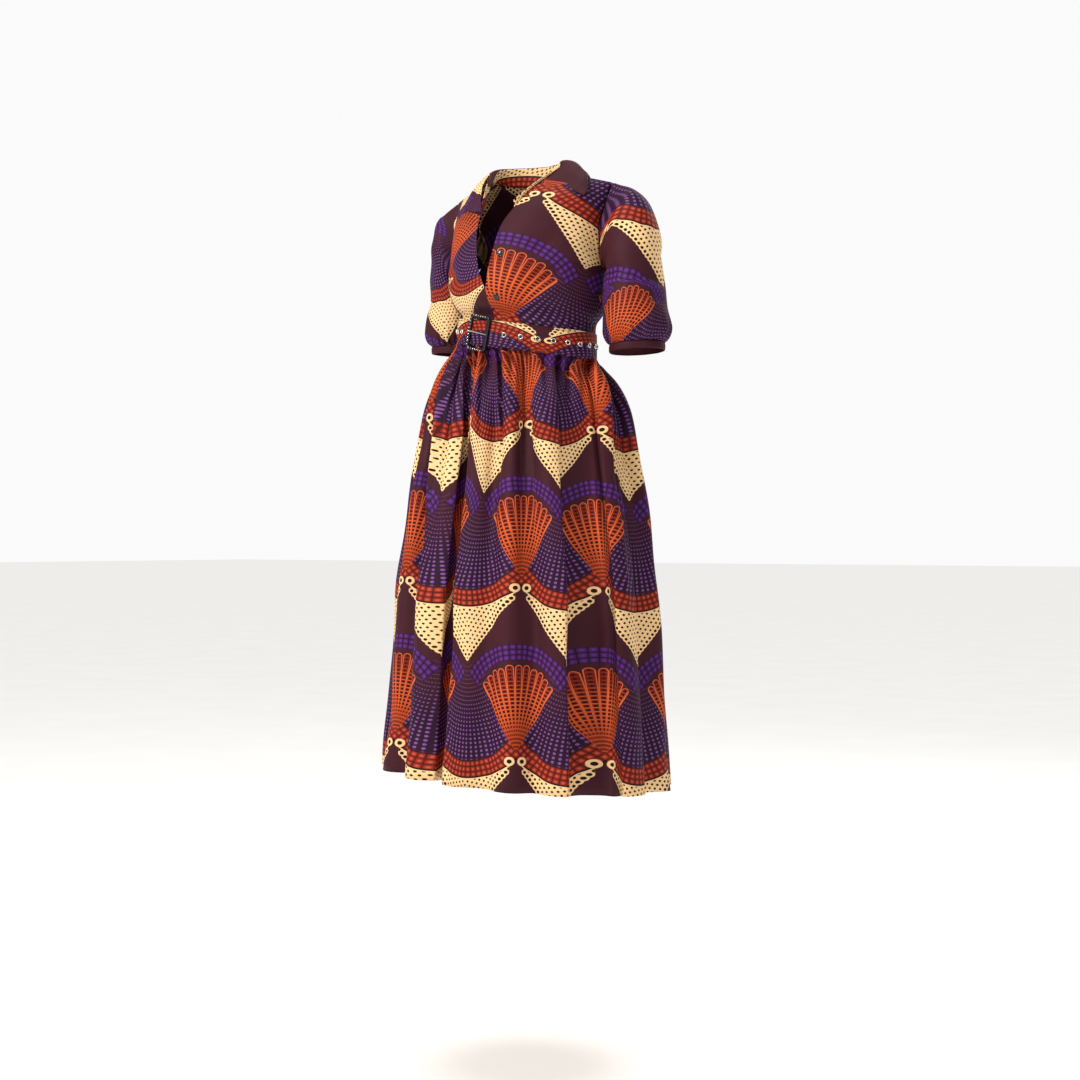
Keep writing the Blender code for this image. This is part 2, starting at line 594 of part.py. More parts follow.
def bar(name, path, up, radius, look, place, sides=8, closed=False):
    """A round bar along a flat path, up being the direction square to the path's plane."""
    path, up = np.array(path, float), np.array(up, float)
    if closed:
        ahead = np.roll(path, -1, axis=0) - np.roll(path, 1, axis=0)
    else:
        ahead = np.gradient(path, axis=0)
    side = np.cross(up, ahead)
    side = side / np.linalg.norm(side, axis=-1, keepdims=True)
    turn = np.arange(sides) * 2 * math.pi / sides
    ring = radius * (side[:, None] * np.cos(turn)[:, None] + up * np.sin(turn)[:, None])
    verts = (path[:, None] + ring).reshape(-1, 3)
    index = np.arange(len(verts)).reshape(-1, sides)
    rows = np.concatenate([index, index[:1]]) if closed else index
    after = np.roll(rows, -1, axis=1)
    quads = np.stack([rows[:-1], after[:-1], after[1:], rows[1:]], axis=-1)
    faces = quads.reshape(-1, 4).tolist()
    if not closed:
        faces += [index[0, ::-1].tolist(), index[-1].tolist()]
    mesh = bpy.data.meshes.new(name)
    mesh.from_pydata(verts.tolist(), [], faces)
    mesh.transform(place)
    return link(name, mesh, look)


BUCKLE_HALF = (0.0225, 0.0300)
BUCKLE_CORNER = 0.006
BUCKLE_SEAT = 0.0007  # the flat frame's sides reach this far in, as the belt curves away
BUCKLE_LEAN = math.radians(-14)


def make_buckle(dark, metal):
    """A rectangular frame that lies on the belt, and its prong."""
    point, normal = on_belt(BUCKLE_ANGLE, float(belt_out(np.array(360.0))))
    place = Matrix.Translation(Vector(point)) @ turned_to(normal)
    place = place @ Matrix.Rotation(BUCKLE_LEAN, 4, "Z")
    thick = 0.0024
    lift = thick - BUCKLE_SEAT
    corners = []
    for quarter in range(4):
        sign_x, sign_y = ((1, 1), (-1, 1), (-1, -1), (1, -1))[quarter]
        for step in range(5):
            turn = math.radians(90 * quarter + 22.5 * step)
            corners.append(
                (
                    sign_x * (BUCKLE_HALF[0] - BUCKLE_CORNER) + BUCKLE_CORNER * math.cos(turn),
                    sign_y * (BUCKLE_HALF[1] - BUCKLE_CORNER) + BUCKLE_CORNER * math.sin(turn),
                    lift,
                )
            )
    bar("buckle_frame", corners, (0, 0, 1), thick, dark, place, closed=True)
    prong = 0.0013
    over = lift + thick + prong + GAP
    reach = BUCKLE_HALF[0]
    path = [(-reach - 0.001, 0, over), (-reach * 0.4, 0, over - 0.002)]
    path += [(reach * 0.4, 0, over - 0.002), (reach + 0.002, 0, over)]
    bar("buckle_prong", path, (0, 1, 0), prong, metal, place)


def button(name, point, normal, look):
    """A flat round button with a raised rim, sewn on a face whose outward direction is normal."""
    profile = ((0.0, 0.0), (0.86, 0.0), (1.0, 0.0007), (1.0, 0.0020), (0.86, 0.0026))
    profile += ((0.70, 0.0019), (0.0, 0.0018))
    sides = 12
    verts, faces = [(0, 0, profile[0][1])], []
    for radius, height in profile[1:-1]:
        for step in range(sides):
            turn = 2 * math.pi * step / sides
            verts.append(
                (
                    radius * BUTTON_RADIUS * math.cos(turn),
                    radius * BUTTON_RADIUS * math.sin(turn),
                    height,
                )
            )
    verts.append((0, 0, profile[-1][1]))
    rings = len(profile) - 2
    for step in range(sides):
        after = (step + 1) % sides
        faces.append((0, 1 + after, 1 + step))
        for row in range(rings - 1):
            low, high = 1 + row * sides, 1 + (row + 1) * sides
            faces.append((low + step, low + after, high + after, high + step))
        top = 1 + (rings - 1) * sides
        faces.append((top + step, top + after, len(verts) - 1))
    mesh = bpy.data.meshes.new(name)
    mesh.from_pydata(verts, [], faces)
    mesh.transform(Matrix.Translation(Vector(point) + normal * GAP) @ turned_to(normal))
    return link(name, mesh, look)


FRONT_BUTTONS = (2.35, 5.65)  # places among FRONT's rows
BUTTON_INSET = 0.085  # from the front edge, as a share of the front's width


def normal_of(surface, u, v):
    """The outward direction of a panel at one place, by small steps along it."""
    step = 0.01
    across = surface(np.array([u - step, u + step]), np.array([v]))[0]
    along = surface(np.array([u]), np.array([v - step, v + step]))[:, 0]
    return Vector(np.cross(across[1] - across[0], along[1] - along[0])).normalized()


def make_buttons(look):
    """Two buttons by the left front's edge, and one on each cuff."""
    for number, v in enumerate(FRONT_BUTTONS):
        point = front(np.array([BUTTON_INSET]), np.array([v]))[0, 0]
        button(f"button_front_{number + 1}", point, normal_of(front, BUTTON_INSET, v), look)
    tau = np.linspace(0, 2 * math.pi, SLEEVE_COLUMNS, endpoint=False)
    for name, right, column in (("left", False, 20), ("right", True, 13)):
        band = cuff(tau, np.array([0.5]), right)[0]
        point = (band[column] + band[column + 1]) / 2
        away = point - band.mean(axis=0)
        normal = Vector((away[0], away[1], 0)).normalized()
        button(f"button_cuff_{name}", point, normal, look)


def main():
    for old in list(bpy.data.objects):
        bpy.data.objects.remove(old)
    printed = material("wax_print_cotton", PRINT_COLOUR, 0.62)
    metal = material("nickel", METAL_COLOUR, 0.25, 1.0)
    dark = material("black_enamel", DARK_COLOUR, 0.25)
    make_bodice(printed)
    make_sleeves(printed)
    make_skirt(printed)
    make_collar(printed)
    make_belt(printed, metal, dark)
    make_buttons(dark)


main()
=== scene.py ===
# %% [markdown]
# # A belted shirt dress of wax print cotton
#
# The real dress is sewn from plain-woven cotton, printed with a repeat of fans, dotted arcs and
# dotted wedges. The CAD solids give its hollow form and its seams. Here every cloth solid is
# replaced by a thin shell on the same form, fine enough for gathers, creases and turned edges.
# Left and right are those of the dress as worn: its front faces -Y, and +X is its left side.

# %% Load the frame
import math
from functools import partial

import bmesh
import bpy
import numpy as np
from mathutils import Matrix, Vector


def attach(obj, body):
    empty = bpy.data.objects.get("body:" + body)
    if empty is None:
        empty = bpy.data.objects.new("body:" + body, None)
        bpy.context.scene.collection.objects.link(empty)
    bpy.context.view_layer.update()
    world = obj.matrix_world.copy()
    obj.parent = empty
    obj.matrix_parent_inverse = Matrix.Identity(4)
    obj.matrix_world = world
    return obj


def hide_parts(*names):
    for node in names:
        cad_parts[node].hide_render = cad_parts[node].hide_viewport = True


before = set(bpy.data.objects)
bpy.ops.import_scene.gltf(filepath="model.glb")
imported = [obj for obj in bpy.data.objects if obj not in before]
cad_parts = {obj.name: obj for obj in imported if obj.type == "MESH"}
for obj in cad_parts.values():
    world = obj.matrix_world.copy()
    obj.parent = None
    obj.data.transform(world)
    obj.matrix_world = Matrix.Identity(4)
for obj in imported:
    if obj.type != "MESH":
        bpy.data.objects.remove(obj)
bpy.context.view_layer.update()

print("nodes in the frame:", len(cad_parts))

# %% [markdown]
# ## The camera, the floor and the light
#
# The photograph looks at the dress from its left, level with the hips, through a fairly long
# lens. The floor lies well below the hem, so the dress hangs free above it, at about the height
# at which it is worn. The light is that of a white studio: a large warm lamp high on the left, a
# weak one on the right, and a white room all round. Plain lamps are used instead of a picture of a
# room, so that nothing is reflected that isn't there.

# %% Camera, floor and lamps
CAMERA_PLACE = (1.8552, -2.6075, -0.670)
CAMERA_TURN = 35.0  # degrees round from straight in front
FLOOR_Z = -1.625


def aimed(place, target):
    """The turn that points an object's -Z from its place to a target."""
    away = np.array(target) - np.array(place)
    across = math.hypot(away[0], away[1])
    return (math.atan2(across, -away[2]), 0.0, math.atan2(-away[0], away[1]))


camera = bpy.data.objects.new("camera", bpy.data.cameras.new("camera"))
camera.location = CAMERA_PLACE
camera.rotation_euler = (math.radians(90), 0, math.radians(CAMERA_TURN))
camera.data.sensor_width = 36
camera.data.lens = 58.6
bpy.context.scene.collection.objects.link(camera)
bpy.context.scene.camera = camera

for name, place, size, power, tint in (
    ("key_lamp", (-1.0, -3.4, 1.6), 0.9, 165, (1.0, 0.93, 0.84)),
    ("fill_lamp", (3.4, -1.6, 0.8), 2.0, 16, (1.0, 0.95, 0.90)),
    ("back_lamp", (0.6, 3.2, 1.8), 2.0, 50, (1.0, 0.97, 0.94)),
):
    lamp = bpy.data.lights.new(name, "AREA")
    lamp.size, lamp.energy, lamp.color = size, power, tint
    holder = bpy.data.objects.new(name, lamp)
    holder.location = place
    holder.rotation_euler = aimed(place, (0, 0, -0.55))
    bpy.context.scene.collection.objects.link(holder)

ceiling = bpy.data.objects.new("ceiling_light", bpy.data.lights.new("ceiling_light", "SUN"))
ceiling.data.energy, ceiling.data.angle = 2.0, 0.6
bpy.context.scene.collection.objects.link(ceiling)

world = bpy.data.worlds.new("white_studio")
world.use_nodes = True
room = world.node_tree
background = room.nodes["Background"]
background.inputs["Color"].default_value = (1, 1, 1, 1)
seen = room.nodes.new("ShaderNodeLightPath").outputs["Is Camera Ray"]
strength = room.nodes.new("ShaderNodeMapRange")
strength.inputs["To Min"].default_value = 0.32  # the room's light on the dress
strength.inputs["To Max"].default_value = 0.96  # the white wall behind it
room.links.new(seen, strength.inputs["Value"])
room.links.new(strength.outputs[0], background.inputs["Strength"])
bpy.context.scene.world = world
bpy.context.scene.view_settings.view_transform = "Standard"
print("camera at", CAMERA_PLACE)

# %% [markdown]
# ## Two helpers for materials
#
# Colours are written as sRGB hex values and turned to linear light. One small function adds a
# node, with its settings by name and its inputs in their order.

# %% Colours and nodes
def colour(code):
    """Linear light from an sRGB hex value: the low part is divided, the rest follows a power."""
    shares = np.array([int(code[i : i + 2], 16) for i in (1, 3, 5)]) / 255
    light = np.where(shares <= 0.04045, shares / 12.92, ((shares + 0.055) / 1.055) ** 2.4)
    return (*light.tolist(), 1.0)


def add(tree, kind, *values, named=None, out=0, **settings):
    """Adds one node to a tree and returns one of its outputs, if it has any. Each value is a
    number, a colour or another node's output, and named holds those that go to inputs by name."""
    made = tree.nodes.new("ShaderNode" + kind)
    for name, setting in settings.items():
        setattr(made, name, setting)
    pairs = list(zip([socket for socket in made.inputs if socket.enabled], values))
    pairs += [(made.inputs[name], value) for name, value in (named or {}).items()]
    for socket, value in pairs:
        if isinstance(value, bpy.types.NodeSocket):
            tree.links.new(value, socket)
        else:
            socket.default_value = value
    outputs = [socket for socket in made.outputs if socket.enabled]
    return outputs[out] if outputs else None


def new_material(name):
    """An empty node material and its tree."""
    made = bpy.data.materials.new(name)
    made.use_nodes = True
    made.node_tree.nodes.clear()
    return made, made.node_tree


print("mid grey in linear light:", round(colour("#808080")[0], 3))

# %% [markdown]
# ## The floor
#
# A studio floor is a pale matt surface. A very faint mottling keeps it from being one flat colour.

# %% Pale floor
FLOOR_REACH = 60.0  # metres to each side
floor_paint, tree = new_material("matt_studio_floor")
place = add(tree, "TexCoord", out=3)
mottle = add(tree, "TexNoise", place, named={"Scale": 3.0, "Detail": 3.0})
pale = add(tree, "Mix", mottle, colour("#f4f2ef"), colour("#fbfaf8"), data_type="RGBA")
shader = add(tree, "BsdfPrincipled", named={"Base Color": pale, "Roughness": 0.85})
add(tree, "OutputMaterial", shader)
floor_mesh = bpy.data.meshes.new("floor")
square = ((-1, -1), (1, -1), (1, 1), (-1, 1))
corners = [(x * FLOOR_REACH, y * FLOOR_REACH, FLOOR_Z) for x, y in square]
floor_mesh.from_pydata(corners, [], [(0, 1, 2, 3)])
floor_mesh.materials.append(floor_paint)
floor = bpy.data.objects.new("floor", floor_mesh)
bpy.context.scene.collection.objects.link(floor)
print("floor at", FLOOR_Z)

# %% [markdown]
# ## The print
#
# Wax print cotton is dyed through a resist of wax on both faces, so the inside shows the print
# too. This repeat is drawn here from formulas, in metres of flat cloth. It has one cusp in each
# repeat, W wide and H long. A fan of ribs opens upwards from the cusp, under an arc of three rows
# of squares. Between two cusps a red band of three rows of squares sags like a garland. Below it
# hangs a cream wedge with dark dots, whose ends are drawn out to thin ringed tips beside the
# cusps. Rays of small light dots run down from each wedge's point to the next garland.
# The material reads the cloth's own UV map, so the print follows every fold.

# %% The print's sizes, in metres of flat cloth
REPEAT_WIDE = 0.188
REPEAT_LONG = 0.300
FAN_REACH = 0.150
FAN_HALF_ANGLE = 0.53
FAN_RIBS = 11
FAN_ROUNDING = 0.15  # how much shorter the outermost ribs are, as a share
FAN_ROW = 0.0068
SQUARE = 0.0094
BAND = 3 * SQUARE
GARLAND_LOW = 0.052  # the garland's lowest edge below the cusps
GARLAND_RADIUS = 0.126
WEDGE_FROM, WEDGE_TO = 0.020, 0.148
RING = (0.0100, 0.0155, 0.0078)  # a ringed tip's place beside the cusp and its radius
WEDGE_DOT = 0.0080
RAY_ROW = 0.0074
RAY_ANGLE = 0.060

PRINT = {
    "night": "#230a24",
    "violet": "#451a5e",
    "lilac": "#744684",
    "ember": "#4c0c0a",
    "brick": "#862414",
    "coral": "#ac4a32",
    "flame": "#bc481c",
    "peach": "#cc6234",
    "wine": "#6c1008",
    "cream": "#e6c08c",
    "ink": "#1c0709",
}
print("one repeat:", REPEAT_WIDE, "by", REPEAT_LONG, "m")

# %% [markdown]
# Every motif is a mask: a number that is 1 inside the motif and 0 outside it, with a soft edge a
# fraction of a millimetre wide. Masks are multiplied to cut one motif by another, and a colour is
# laid over the last one where a mask is 1. An image would do the same with less work, but formulas
# stay sharp however close the view comes.

# %% Masks, cells and rows of squares
def step(tree, value, low, high):
    """A smooth step: 0 where the value is below low, 1 above high."""
    return add(tree, "MapRange", value, low, high, 0.0, 1.0, interpolation_type="SMOOTHSTEP")


def both(tree, first, second):
    """1 where both masks are 1."""
    return add(tree, "Math", first, second, operation="MULTIPLY")


def between(tree, value, low, high, edge=0.0003):
    """A mask that is 1 where the value lies between low and high."""
    rise = step(tree, value, low - edge, low + edge)
    fall = step(tree, value, high + edge, high - edge)
    return both(tree, rise, fall)


def distance(tree, across, along):
    """The length of the vector (across, along)."""
    return add(tree, "VectorMath", add(tree, "CombineXYZ", across, along), operation="LENGTH")


def in_cell(tree, value, pitch, shift=0.0):
    """How far a value lies from the middle of its cell, as a share of the pitch, and the cell's
    number."""
    scaled = add(tree, "Math", value, 1 / pitch, shift, operation="MULTIPLY_ADD")
    number = add(tree, "Math", scaled, operation="FLOOR")
    share = add(tree, "Math", scaled, operation="FRACT")
    return add(tree, "Math", share, 0.5, operation="SUBTRACT"), number


def over(tree, mask, under, code):
    """Lays a colour over another where the mask is 1."""
    top = colour(PRINT[code]) if isinstance(code, str) else code
    return add(tree, "Mix", mask, under, top, data_type="RGBA")


def squares(tree, under, across, along, mask, ground, face, spot):
    """Rows of soft squares with a light spot in each: across and along are in squares."""
    side, _ = in_cell(tree, across, 1.0)
    rise, _ = in_cell(tree, along, 1.0)
    fourth = distance(
        tree,
        add(tree, "Math", side, side, operation="MULTIPLY"),
        add(tree, "Math", rise, rise, operation="MULTIPLY"),
    )
    painted = over(tree, mask, under, ground)
    inside = step(tree, fourth, 0.195, 0.150)
    painted = over(tree, both(tree, mask, inside), painted, face)
    middle = step(tree, distance(tree, side, rise), 0.30, 0.14)
    return over(tree, both(tree, mask, middle), painted, spot)


print("one square:", SQUARE, "m")

# %% [markdown]
# The ground is dyed plum. Between the motifs, rays of light dots spread from each wedge's point.
# They are cells in a polar grid: the distance from the point counts the rows and the angle counts
# the rays.

# %% Ground and rays
def ground_cloth(tree, cloth):
    """The plum ground, a little uneven as dye is."""
    cloud = add(tree, "TexNoise", cloth, named={"Scale": 9.0, "Detail": 4.0})
    dark, light = colour("#31121b"), colour("#401622")
    return add(tree, "Mix", cloud, dark, light, data_type="RGBA")


def rays(tree, painted, from_middle, above):
    """Light dots on rays from each wedge's point: they grow and brighten on the way down."""
    low = add(tree, "Math", above, REPEAT_LONG - WEDGE_TO, operation="ADD")
    m = distance(tree, from_middle, low)
    angle = add(tree, "Math", from_middle, low, operation="ARCTAN2")
    centre = GARLAND_RADIUS - GARLAND_LOW
    q = distance(tree, from_middle, add(tree, "Math", above, centre, operation="ADD"))
    region = step(tree, q, GARLAND_RADIUS - BAND + 0.002, GARLAND_RADIUS - BAND - 0.006)
    region = both(tree, region, step(tree, angle, 1.15, 0.85))
    grown = step(tree, m, 0.0, 0.13)
    painted = over(tree, both(tree, region, grown), painted, "night")
    row, _ = in_cell(tree, m, RAY_ROW)
    column, _ = in_cell(tree, angle, RAY_ANGLE, 0.5)
    side = add(tree, "Math", both(tree, column, m), RAY_ANGLE, operation="MULTIPLY")
    rise = add(tree, "Math", row, RAY_ROW, operation="MULTIPLY")
    size = add(tree, "Math", m, 0.0122, 0.0003, operation="MULTIPLY_ADD")
    far = add(tree, "Math", distance(tree, side, rise), size, operation="SUBTRACT")
    dot = step(tree, far, 0.0004, -0.0004)
    shown = add(tree, "MapRange", m, 0.01, 0.12, 0.35, 1.0)
    return over(tree, both(tree, both(tree, dot, region), shown), painted, "lilac")


print("rows of dots:", RAY_ROW, "m apart")

# %% [markdown]
# An arc of violet squares follows the fan's rounded top, and a garland of red squares hangs from
# cusp to cusp. Both are bands between two curves, with squares counted along them.

# %% Arcs and garlands
def fan_reach(tree, theta):
    """The fan's length at an angle: shorter towards its sides."""
    share = add(tree, "Math", theta, 1 / FAN_HALF_ANGLE, operation="MULTIPLY")
    square = both(tree, share, share)
    loss = -FAN_ROUNDING * FAN_REACH
    return add(tree, "Math", square, loss, FAN_REACH, operation="MULTIPLY_ADD")


def arc_over_fan(tree, painted, r, theta):
    """Three rows of violet squares along the fan's rounded top, a little way off it."""
    beyond = add(tree, "Math", r, fan_reach(tree, theta), operation="SUBTRACT")
    start = 0.009
    mask = between(tree, beyond, start, start + BAND)
    mask = both(tree, mask, step(tree, theta, FAN_HALF_ANGLE * 1.16, FAN_HALF_ANGLE * 1.13))
    across = add(tree, "Math", theta, 0.165 / SQUARE, 0.5, operation="MULTIPLY_ADD")
    along = add(tree, "Math", beyond, 1 / SQUARE, -start / SQUARE, operation="MULTIPLY_ADD")
    return squares(tree, painted, across, along, mask, "night", "violet", colour("#5a2a74"))


def garland(tree, painted, from_middle, y):
    """Three rows of red squares between two circles about a centre above the sag."""
    centre = GARLAND_RADIUS - GARLAND_LOW
    low = add(tree, "Math", y, centre, operation="ADD")
    q = distance(tree, from_middle, low)
    angle = add(tree, "Math", from_middle, low, operation="ARCTAN2")
    line = between(tree, q, GARLAND_RADIUS - BAND - 0.0012, GARLAND_RADIUS + 0.0012)
    below = step(tree, low, 0.0, 0.001)
    painted = over(tree, both(tree, line, below), painted, "ink")
    mask = both(tree, between(tree, q, GARLAND_RADIUS - BAND, GARLAND_RADIUS - 0.0014), below)
    middle = GARLAND_RADIUS - BAND / 2
    across = add(tree, "Math", angle, middle / SQUARE, operation="MULTIPLY")
    along = add(tree, "Math", q, 1 / SQUARE, -GARLAND_RADIUS / SQUARE, operation="MULTIPLY_ADD")
    return squares(tree, painted, across, along, mask, "ember", "brick", "coral")


print("height of a band:", round(BAND, 4), "m")

# %% [markdown]
# The wedge is the only light field. Its slanting edge is scalloped, and its dots keep a row's
# distance from that edge, so they are counted in axes turned along the slant.

# %% Wedges with ringed tips
def wedge(tree, painted, x, from_middle, y):
    """A cream wedge between the garland's lower edge and a slanting scalloped edge, with dark
    dots in rows that follow the slant, and a ringed tip by the cusp."""
    centre = GARLAND_RADIUS - GARLAND_LOW
    q = distance(tree, from_middle, add(tree, "Math", y, centre, operation="ADD"))
    slope = (WEDGE_TO - WEDGE_FROM) / (REPEAT_WIDE / 2)
    run = 1 / math.hypot(1, slope)
    fall = slope * run
    level = add(tree, "Math", y, -WEDGE_FROM, operation="ADD")
    across = add(tree, "Math", x, fall, operation="MULTIPLY")
    inwards = add(tree, "Math", level, -run, across, operation="MULTIPLY_ADD")
    down = add(tree, "Math", level, fall, operation="MULTIPLY")
    along = add(tree, "Math", x, run, down, operation="MULTIPLY_ADD")
    place, _ = in_cell(tree, along, WEDGE_DOT)
    bulge = add(tree, "Math", both(tree, place, place), -0.0052, 0.0014, operation="MULTIPLY_ADD")
    edge = add(tree, "Math", inwards, bulge, operation="ADD")
    off_garland = step(tree, q, GARLAND_RADIUS + 0.0012, GARLAND_RADIUS + 0.0018)
    mask = both(tree, step(tree, edge, -0.0003, 0.0003), off_garland)
    mask = both(tree, mask, step(tree, x, RING[0] - 0.0005, RING[0]))
    to_ring = distance(
        tree,
        add(tree, "Math", x, -RING[0], operation="ADD"),
        add(tree, "Math", y, -RING[1], operation="ADD"),
    )
    ring = step(tree, to_ring, RING[2] + 0.0003, RING[2] - 0.0003)
    mask = add(tree, "Math", mask, ring, operation="MAXIMUM")
    mask = both(tree, mask, step(tree, y, 0.232, 0.228))
    painted = over(tree, mask, painted, "cream")
    row, number = in_cell(tree, inwards, WEDGE_DOT * 0.94, 0.04)
    odd = add(tree, "Math", number, 2.0, operation="MODULO")
    shifted = add(tree, "Math", odd, 0.5 * WEDGE_DOT, along, operation="MULTIPLY_ADD")
    column, _ = in_cell(tree, shifted, WEDGE_DOT)
    far = add(tree, "Math", distance(tree, row, column), WEDGE_DOT, operation="MULTIPLY")
    first = step(tree, inwards, WEDGE_DOT * 1.1, WEDGE_DOT * 0.9)
    size = add(tree, "MapRange", along, 0.0, 0.16, 0.0024, 0.0017)
    size = add(tree, "Math", first, 0.0006, size, operation="MULTIPLY_ADD")
    dot = step(tree, add(tree, "Math", far, size, operation="SUBTRACT"), 0.0003, -0.0003)
    clear = step(tree, q, GARLAND_RADIUS + 0.0022, GARLAND_RADIUS + 0.0040)
    away = step(tree, to_ring, RING[2] - 0.0012, RING[2] + 0.0005)
    dot = both(tree, both(tree, dot, clear), away)
    heart = step(tree, to_ring, 0.0040, 0.0034)
    dot = add(tree, "Math", dot, heart, operation="MAXIMUM")
    return over(tree, both(tree, dot, mask), painted, "ink")


print("drop of a wedge:", round(WEDGE_TO - WEDGE_FROM, 3), "m")

# %% [markdown]
# The fan is drawn last, over all the rest: its ribs cover the arc's foot and the garland's ends.

# %% Fans, and the whole repeat
def fan(tree, painted, r, theta):
    """Ribs that end in round loops. Each rib is outlined, and cut by cross lines into dark cells
    that run together to dashes near the cusp and to long slots at the loops."""
    pitch = 2 * FAN_HALF_ANGLE / FAN_RIBS
    offset, number = in_cell(tree, theta, pitch, 0.5)
    middle = add(tree, "Math", number, pitch, operation="MULTIPLY")
    reach = fan_reach(tree, middle)
    uneven = add(tree, "Math", number, 2.4, operation="MULTIPLY")
    uneven = add(tree, "Math", uneven, operation="SINE")
    reach = add(tree, "Math", uneven, 0.0016, reach, operation="MULTIPLY_ADD")
    side = add(tree, "Math", both(tree, offset, r), pitch, operation="MULTIPLY")
    spread = step(tree, r, 0.70 * FAN_REACH, 0.98 * FAN_REACH)
    half = add(tree, "Math", spread, -0.07 * pitch, 0.5 * pitch, operation="MULTIPLY_ADD")
    half = both(tree, half, r)
    cap = add(tree, "Math", reach, -0.0056, operation="ADD")
    past = add(tree, "Math", r, cap, operation="SUBTRACT")
    past = add(tree, "Math", past, 0.0, operation="MAXIMUM")
    inset = add(tree, "Math", distance(tree, past, side), half, operation="SUBTRACT")
    inside = step(tree, inset, 0.0003, -0.0003)
    inside = both(tree, inside, step(tree, theta, FAN_HALF_ANGLE + 0.004, FAN_HALF_ANGLE))
    outline = step(tree, inset, -0.0016, -0.0009)
    outline = both(tree, outline, add(tree, "MapRange", r, 0.022, 0.062, 0.25, 1.0))
    row, _ = in_cell(tree, r, FAN_ROW)
    cross = add(tree, "Math", row, operation="ABSOLUTE")
    cross = step(tree, cross, 0.31, 0.41)
    left = add(tree, "MapRange", r, 0.60 * FAN_REACH, 0.86 * FAN_REACH, 1.0, 0.12)
    cross = both(tree, cross, left)
    rim = step(tree, theta, FAN_HALF_ANGLE - 0.035, FAN_HALF_ANGLE - 0.012)
    lines = add(tree, "Math", outline, cross, operation="MAXIMUM")
    lines = add(tree, "Math", lines, rim, operation="MAXIMUM")
    glow = step(tree, r, 0.02, FAN_REACH)
    line_colour = over(tree, glow, colour(PRINT["flame"]), "peach")
    cells = over(tree, inside, painted, "wine")
    spot = distance(tree, both(tree, row, FAN_ROW), side)
    spot = step(tree, spot, 0.0022, 0.0014)
    cells = over(tree, both(tree, inside, spot), cells, "ink")
    return over(tree, both(tree, inside, lines), cells, line_colour)


def wax_print(tree, cloth):
    """The print's colour at a point of the flat cloth."""
    s, t, _ = add(tree, "SeparateXYZ", cloth).node.outputs
    x = add(tree, "Math", s, REPEAT_WIDE / 2, operation="PINGPONG")
    from_middle = add(tree, "Math", REPEAT_WIDE / 2, x, operation="SUBTRACT")
    y = add(tree, "Math", t, 0.230, -0.070, operation="WRAP")
    above = add(tree, "Math", t, 0.070, -0.230, operation="WRAP")
    painted = ground_cloth(tree, cloth)
    painted = rays(tree, painted, from_middle, above)
    r = distance(tree, x, above)
    up = add(tree, "Math", above, -1.0, operation="MULTIPLY")
    theta = add(tree, "Math", x, up, operation="ARCTAN2")
    painted = arc_over_fan(tree, painted, r, theta)
    painted = garland(tree, painted, from_middle, y)
    painted = wedge(tree, painted, x, from_middle, y)
    return fan(tree, painted, r, theta)


print("motifs: rays, arcs, garlands, wedges, fans")

# %% [markdown]
# ## The cloth's material
#
# Wax print is a crisp plain-woven cotton with a calendered, slightly waxy face: mostly matt, with
# a soft sheen on the folds. The real threads lie about 0.35 mm apart, too fine to show here, so
# the weave is drawn 0.9 mm apart and very shallow. Fine dark veins are the crackle of the wax.

# %% Wax print cotton
WEAVE = 0.0009


def cloth_material(name, shade=1.0):
    """Printed cotton. Shade is how bright the whole print is, for places that are always dark."""
    made, tree = new_material(name)
    cloth = add(tree, "UVMap", uv_map="cloth")
    painted = wax_print(tree, cloth)
    sizes = {"Scale": 26.0, "Randomness": 1.0}
    veins = add(tree, "TexVoronoi", cloth, named=sizes, feature="DISTANCE_TO_EDGE")
    patchy = add(tree, "TexNoise", cloth, named={"Scale": 14.0, "Detail": 2.0})
    veins = both(tree, step(tree, veins, 0.012, 0.004), step(tree, patchy, 0.50, 0.62))
    veins = add(tree, "Math", veins, 0.22, operation="MULTIPLY")
    painted = over(tree, veins, painted, "ink")
    wear = add(tree, "TexNoise", cloth, named={"Scale": 420.0, "Detail": 2.0})
    bright = add(tree, "MapRange", wear, 0.3, 0.7, 0.90 * shade, 1.08 * shade)
    painted = add(tree, "HueSaturation", 0.5, 1.0, bright, 1.0, painted)
    scaled = add(tree, "VectorMath", cloth, (math.pi / WEAVE,) * 3, operation="MULTIPLY")
    x, y, _ = add(tree, "SeparateXYZ", scaled).node.outputs
    weave = both(tree, add(tree, "Math", x, operation="SINE"), add(tree, "Math", y, operation="SINE"))
    bump = add(tree, "Bump", named={"Strength": 0.20, "Distance": 0.0002, "Height": weave})
    rough = add(tree, "MapRange", patchy, 0.3, 0.7, 0.58, 0.72)
    shader = add(
        tree,
        "BsdfPrincipled",
        named={
            "Base Color": painted,
            "Roughness": rough,
            "Normal": bump,
            "Sheen Weight": 0.01,
            "Sheen Roughness": 0.4,
            "Specular IOR Level": 0.14,
        },
    )
    add(tree, "OutputMaterial", shader)
    return made


printed = cloth_material("wax_print_cotton_woven")
print("nodes in the print:", len(printed.node_tree.nodes))

# %% [markdown]
# ## The dress's form
#
# The cloth pieces follow the same sections as the CAD solids: a few rows of measured numbers for
# each piece, joined by a smooth curve. The shell could be copied from a solid's mesh instead, but
# that is loose triangles, and a grid of its own can carry gathers and a print. The tables and
# functions below repeat the part's own, because a scene can't read them from there. Only the
# collar's lower rows are new. Metres, and angles in degrees from the centre front.

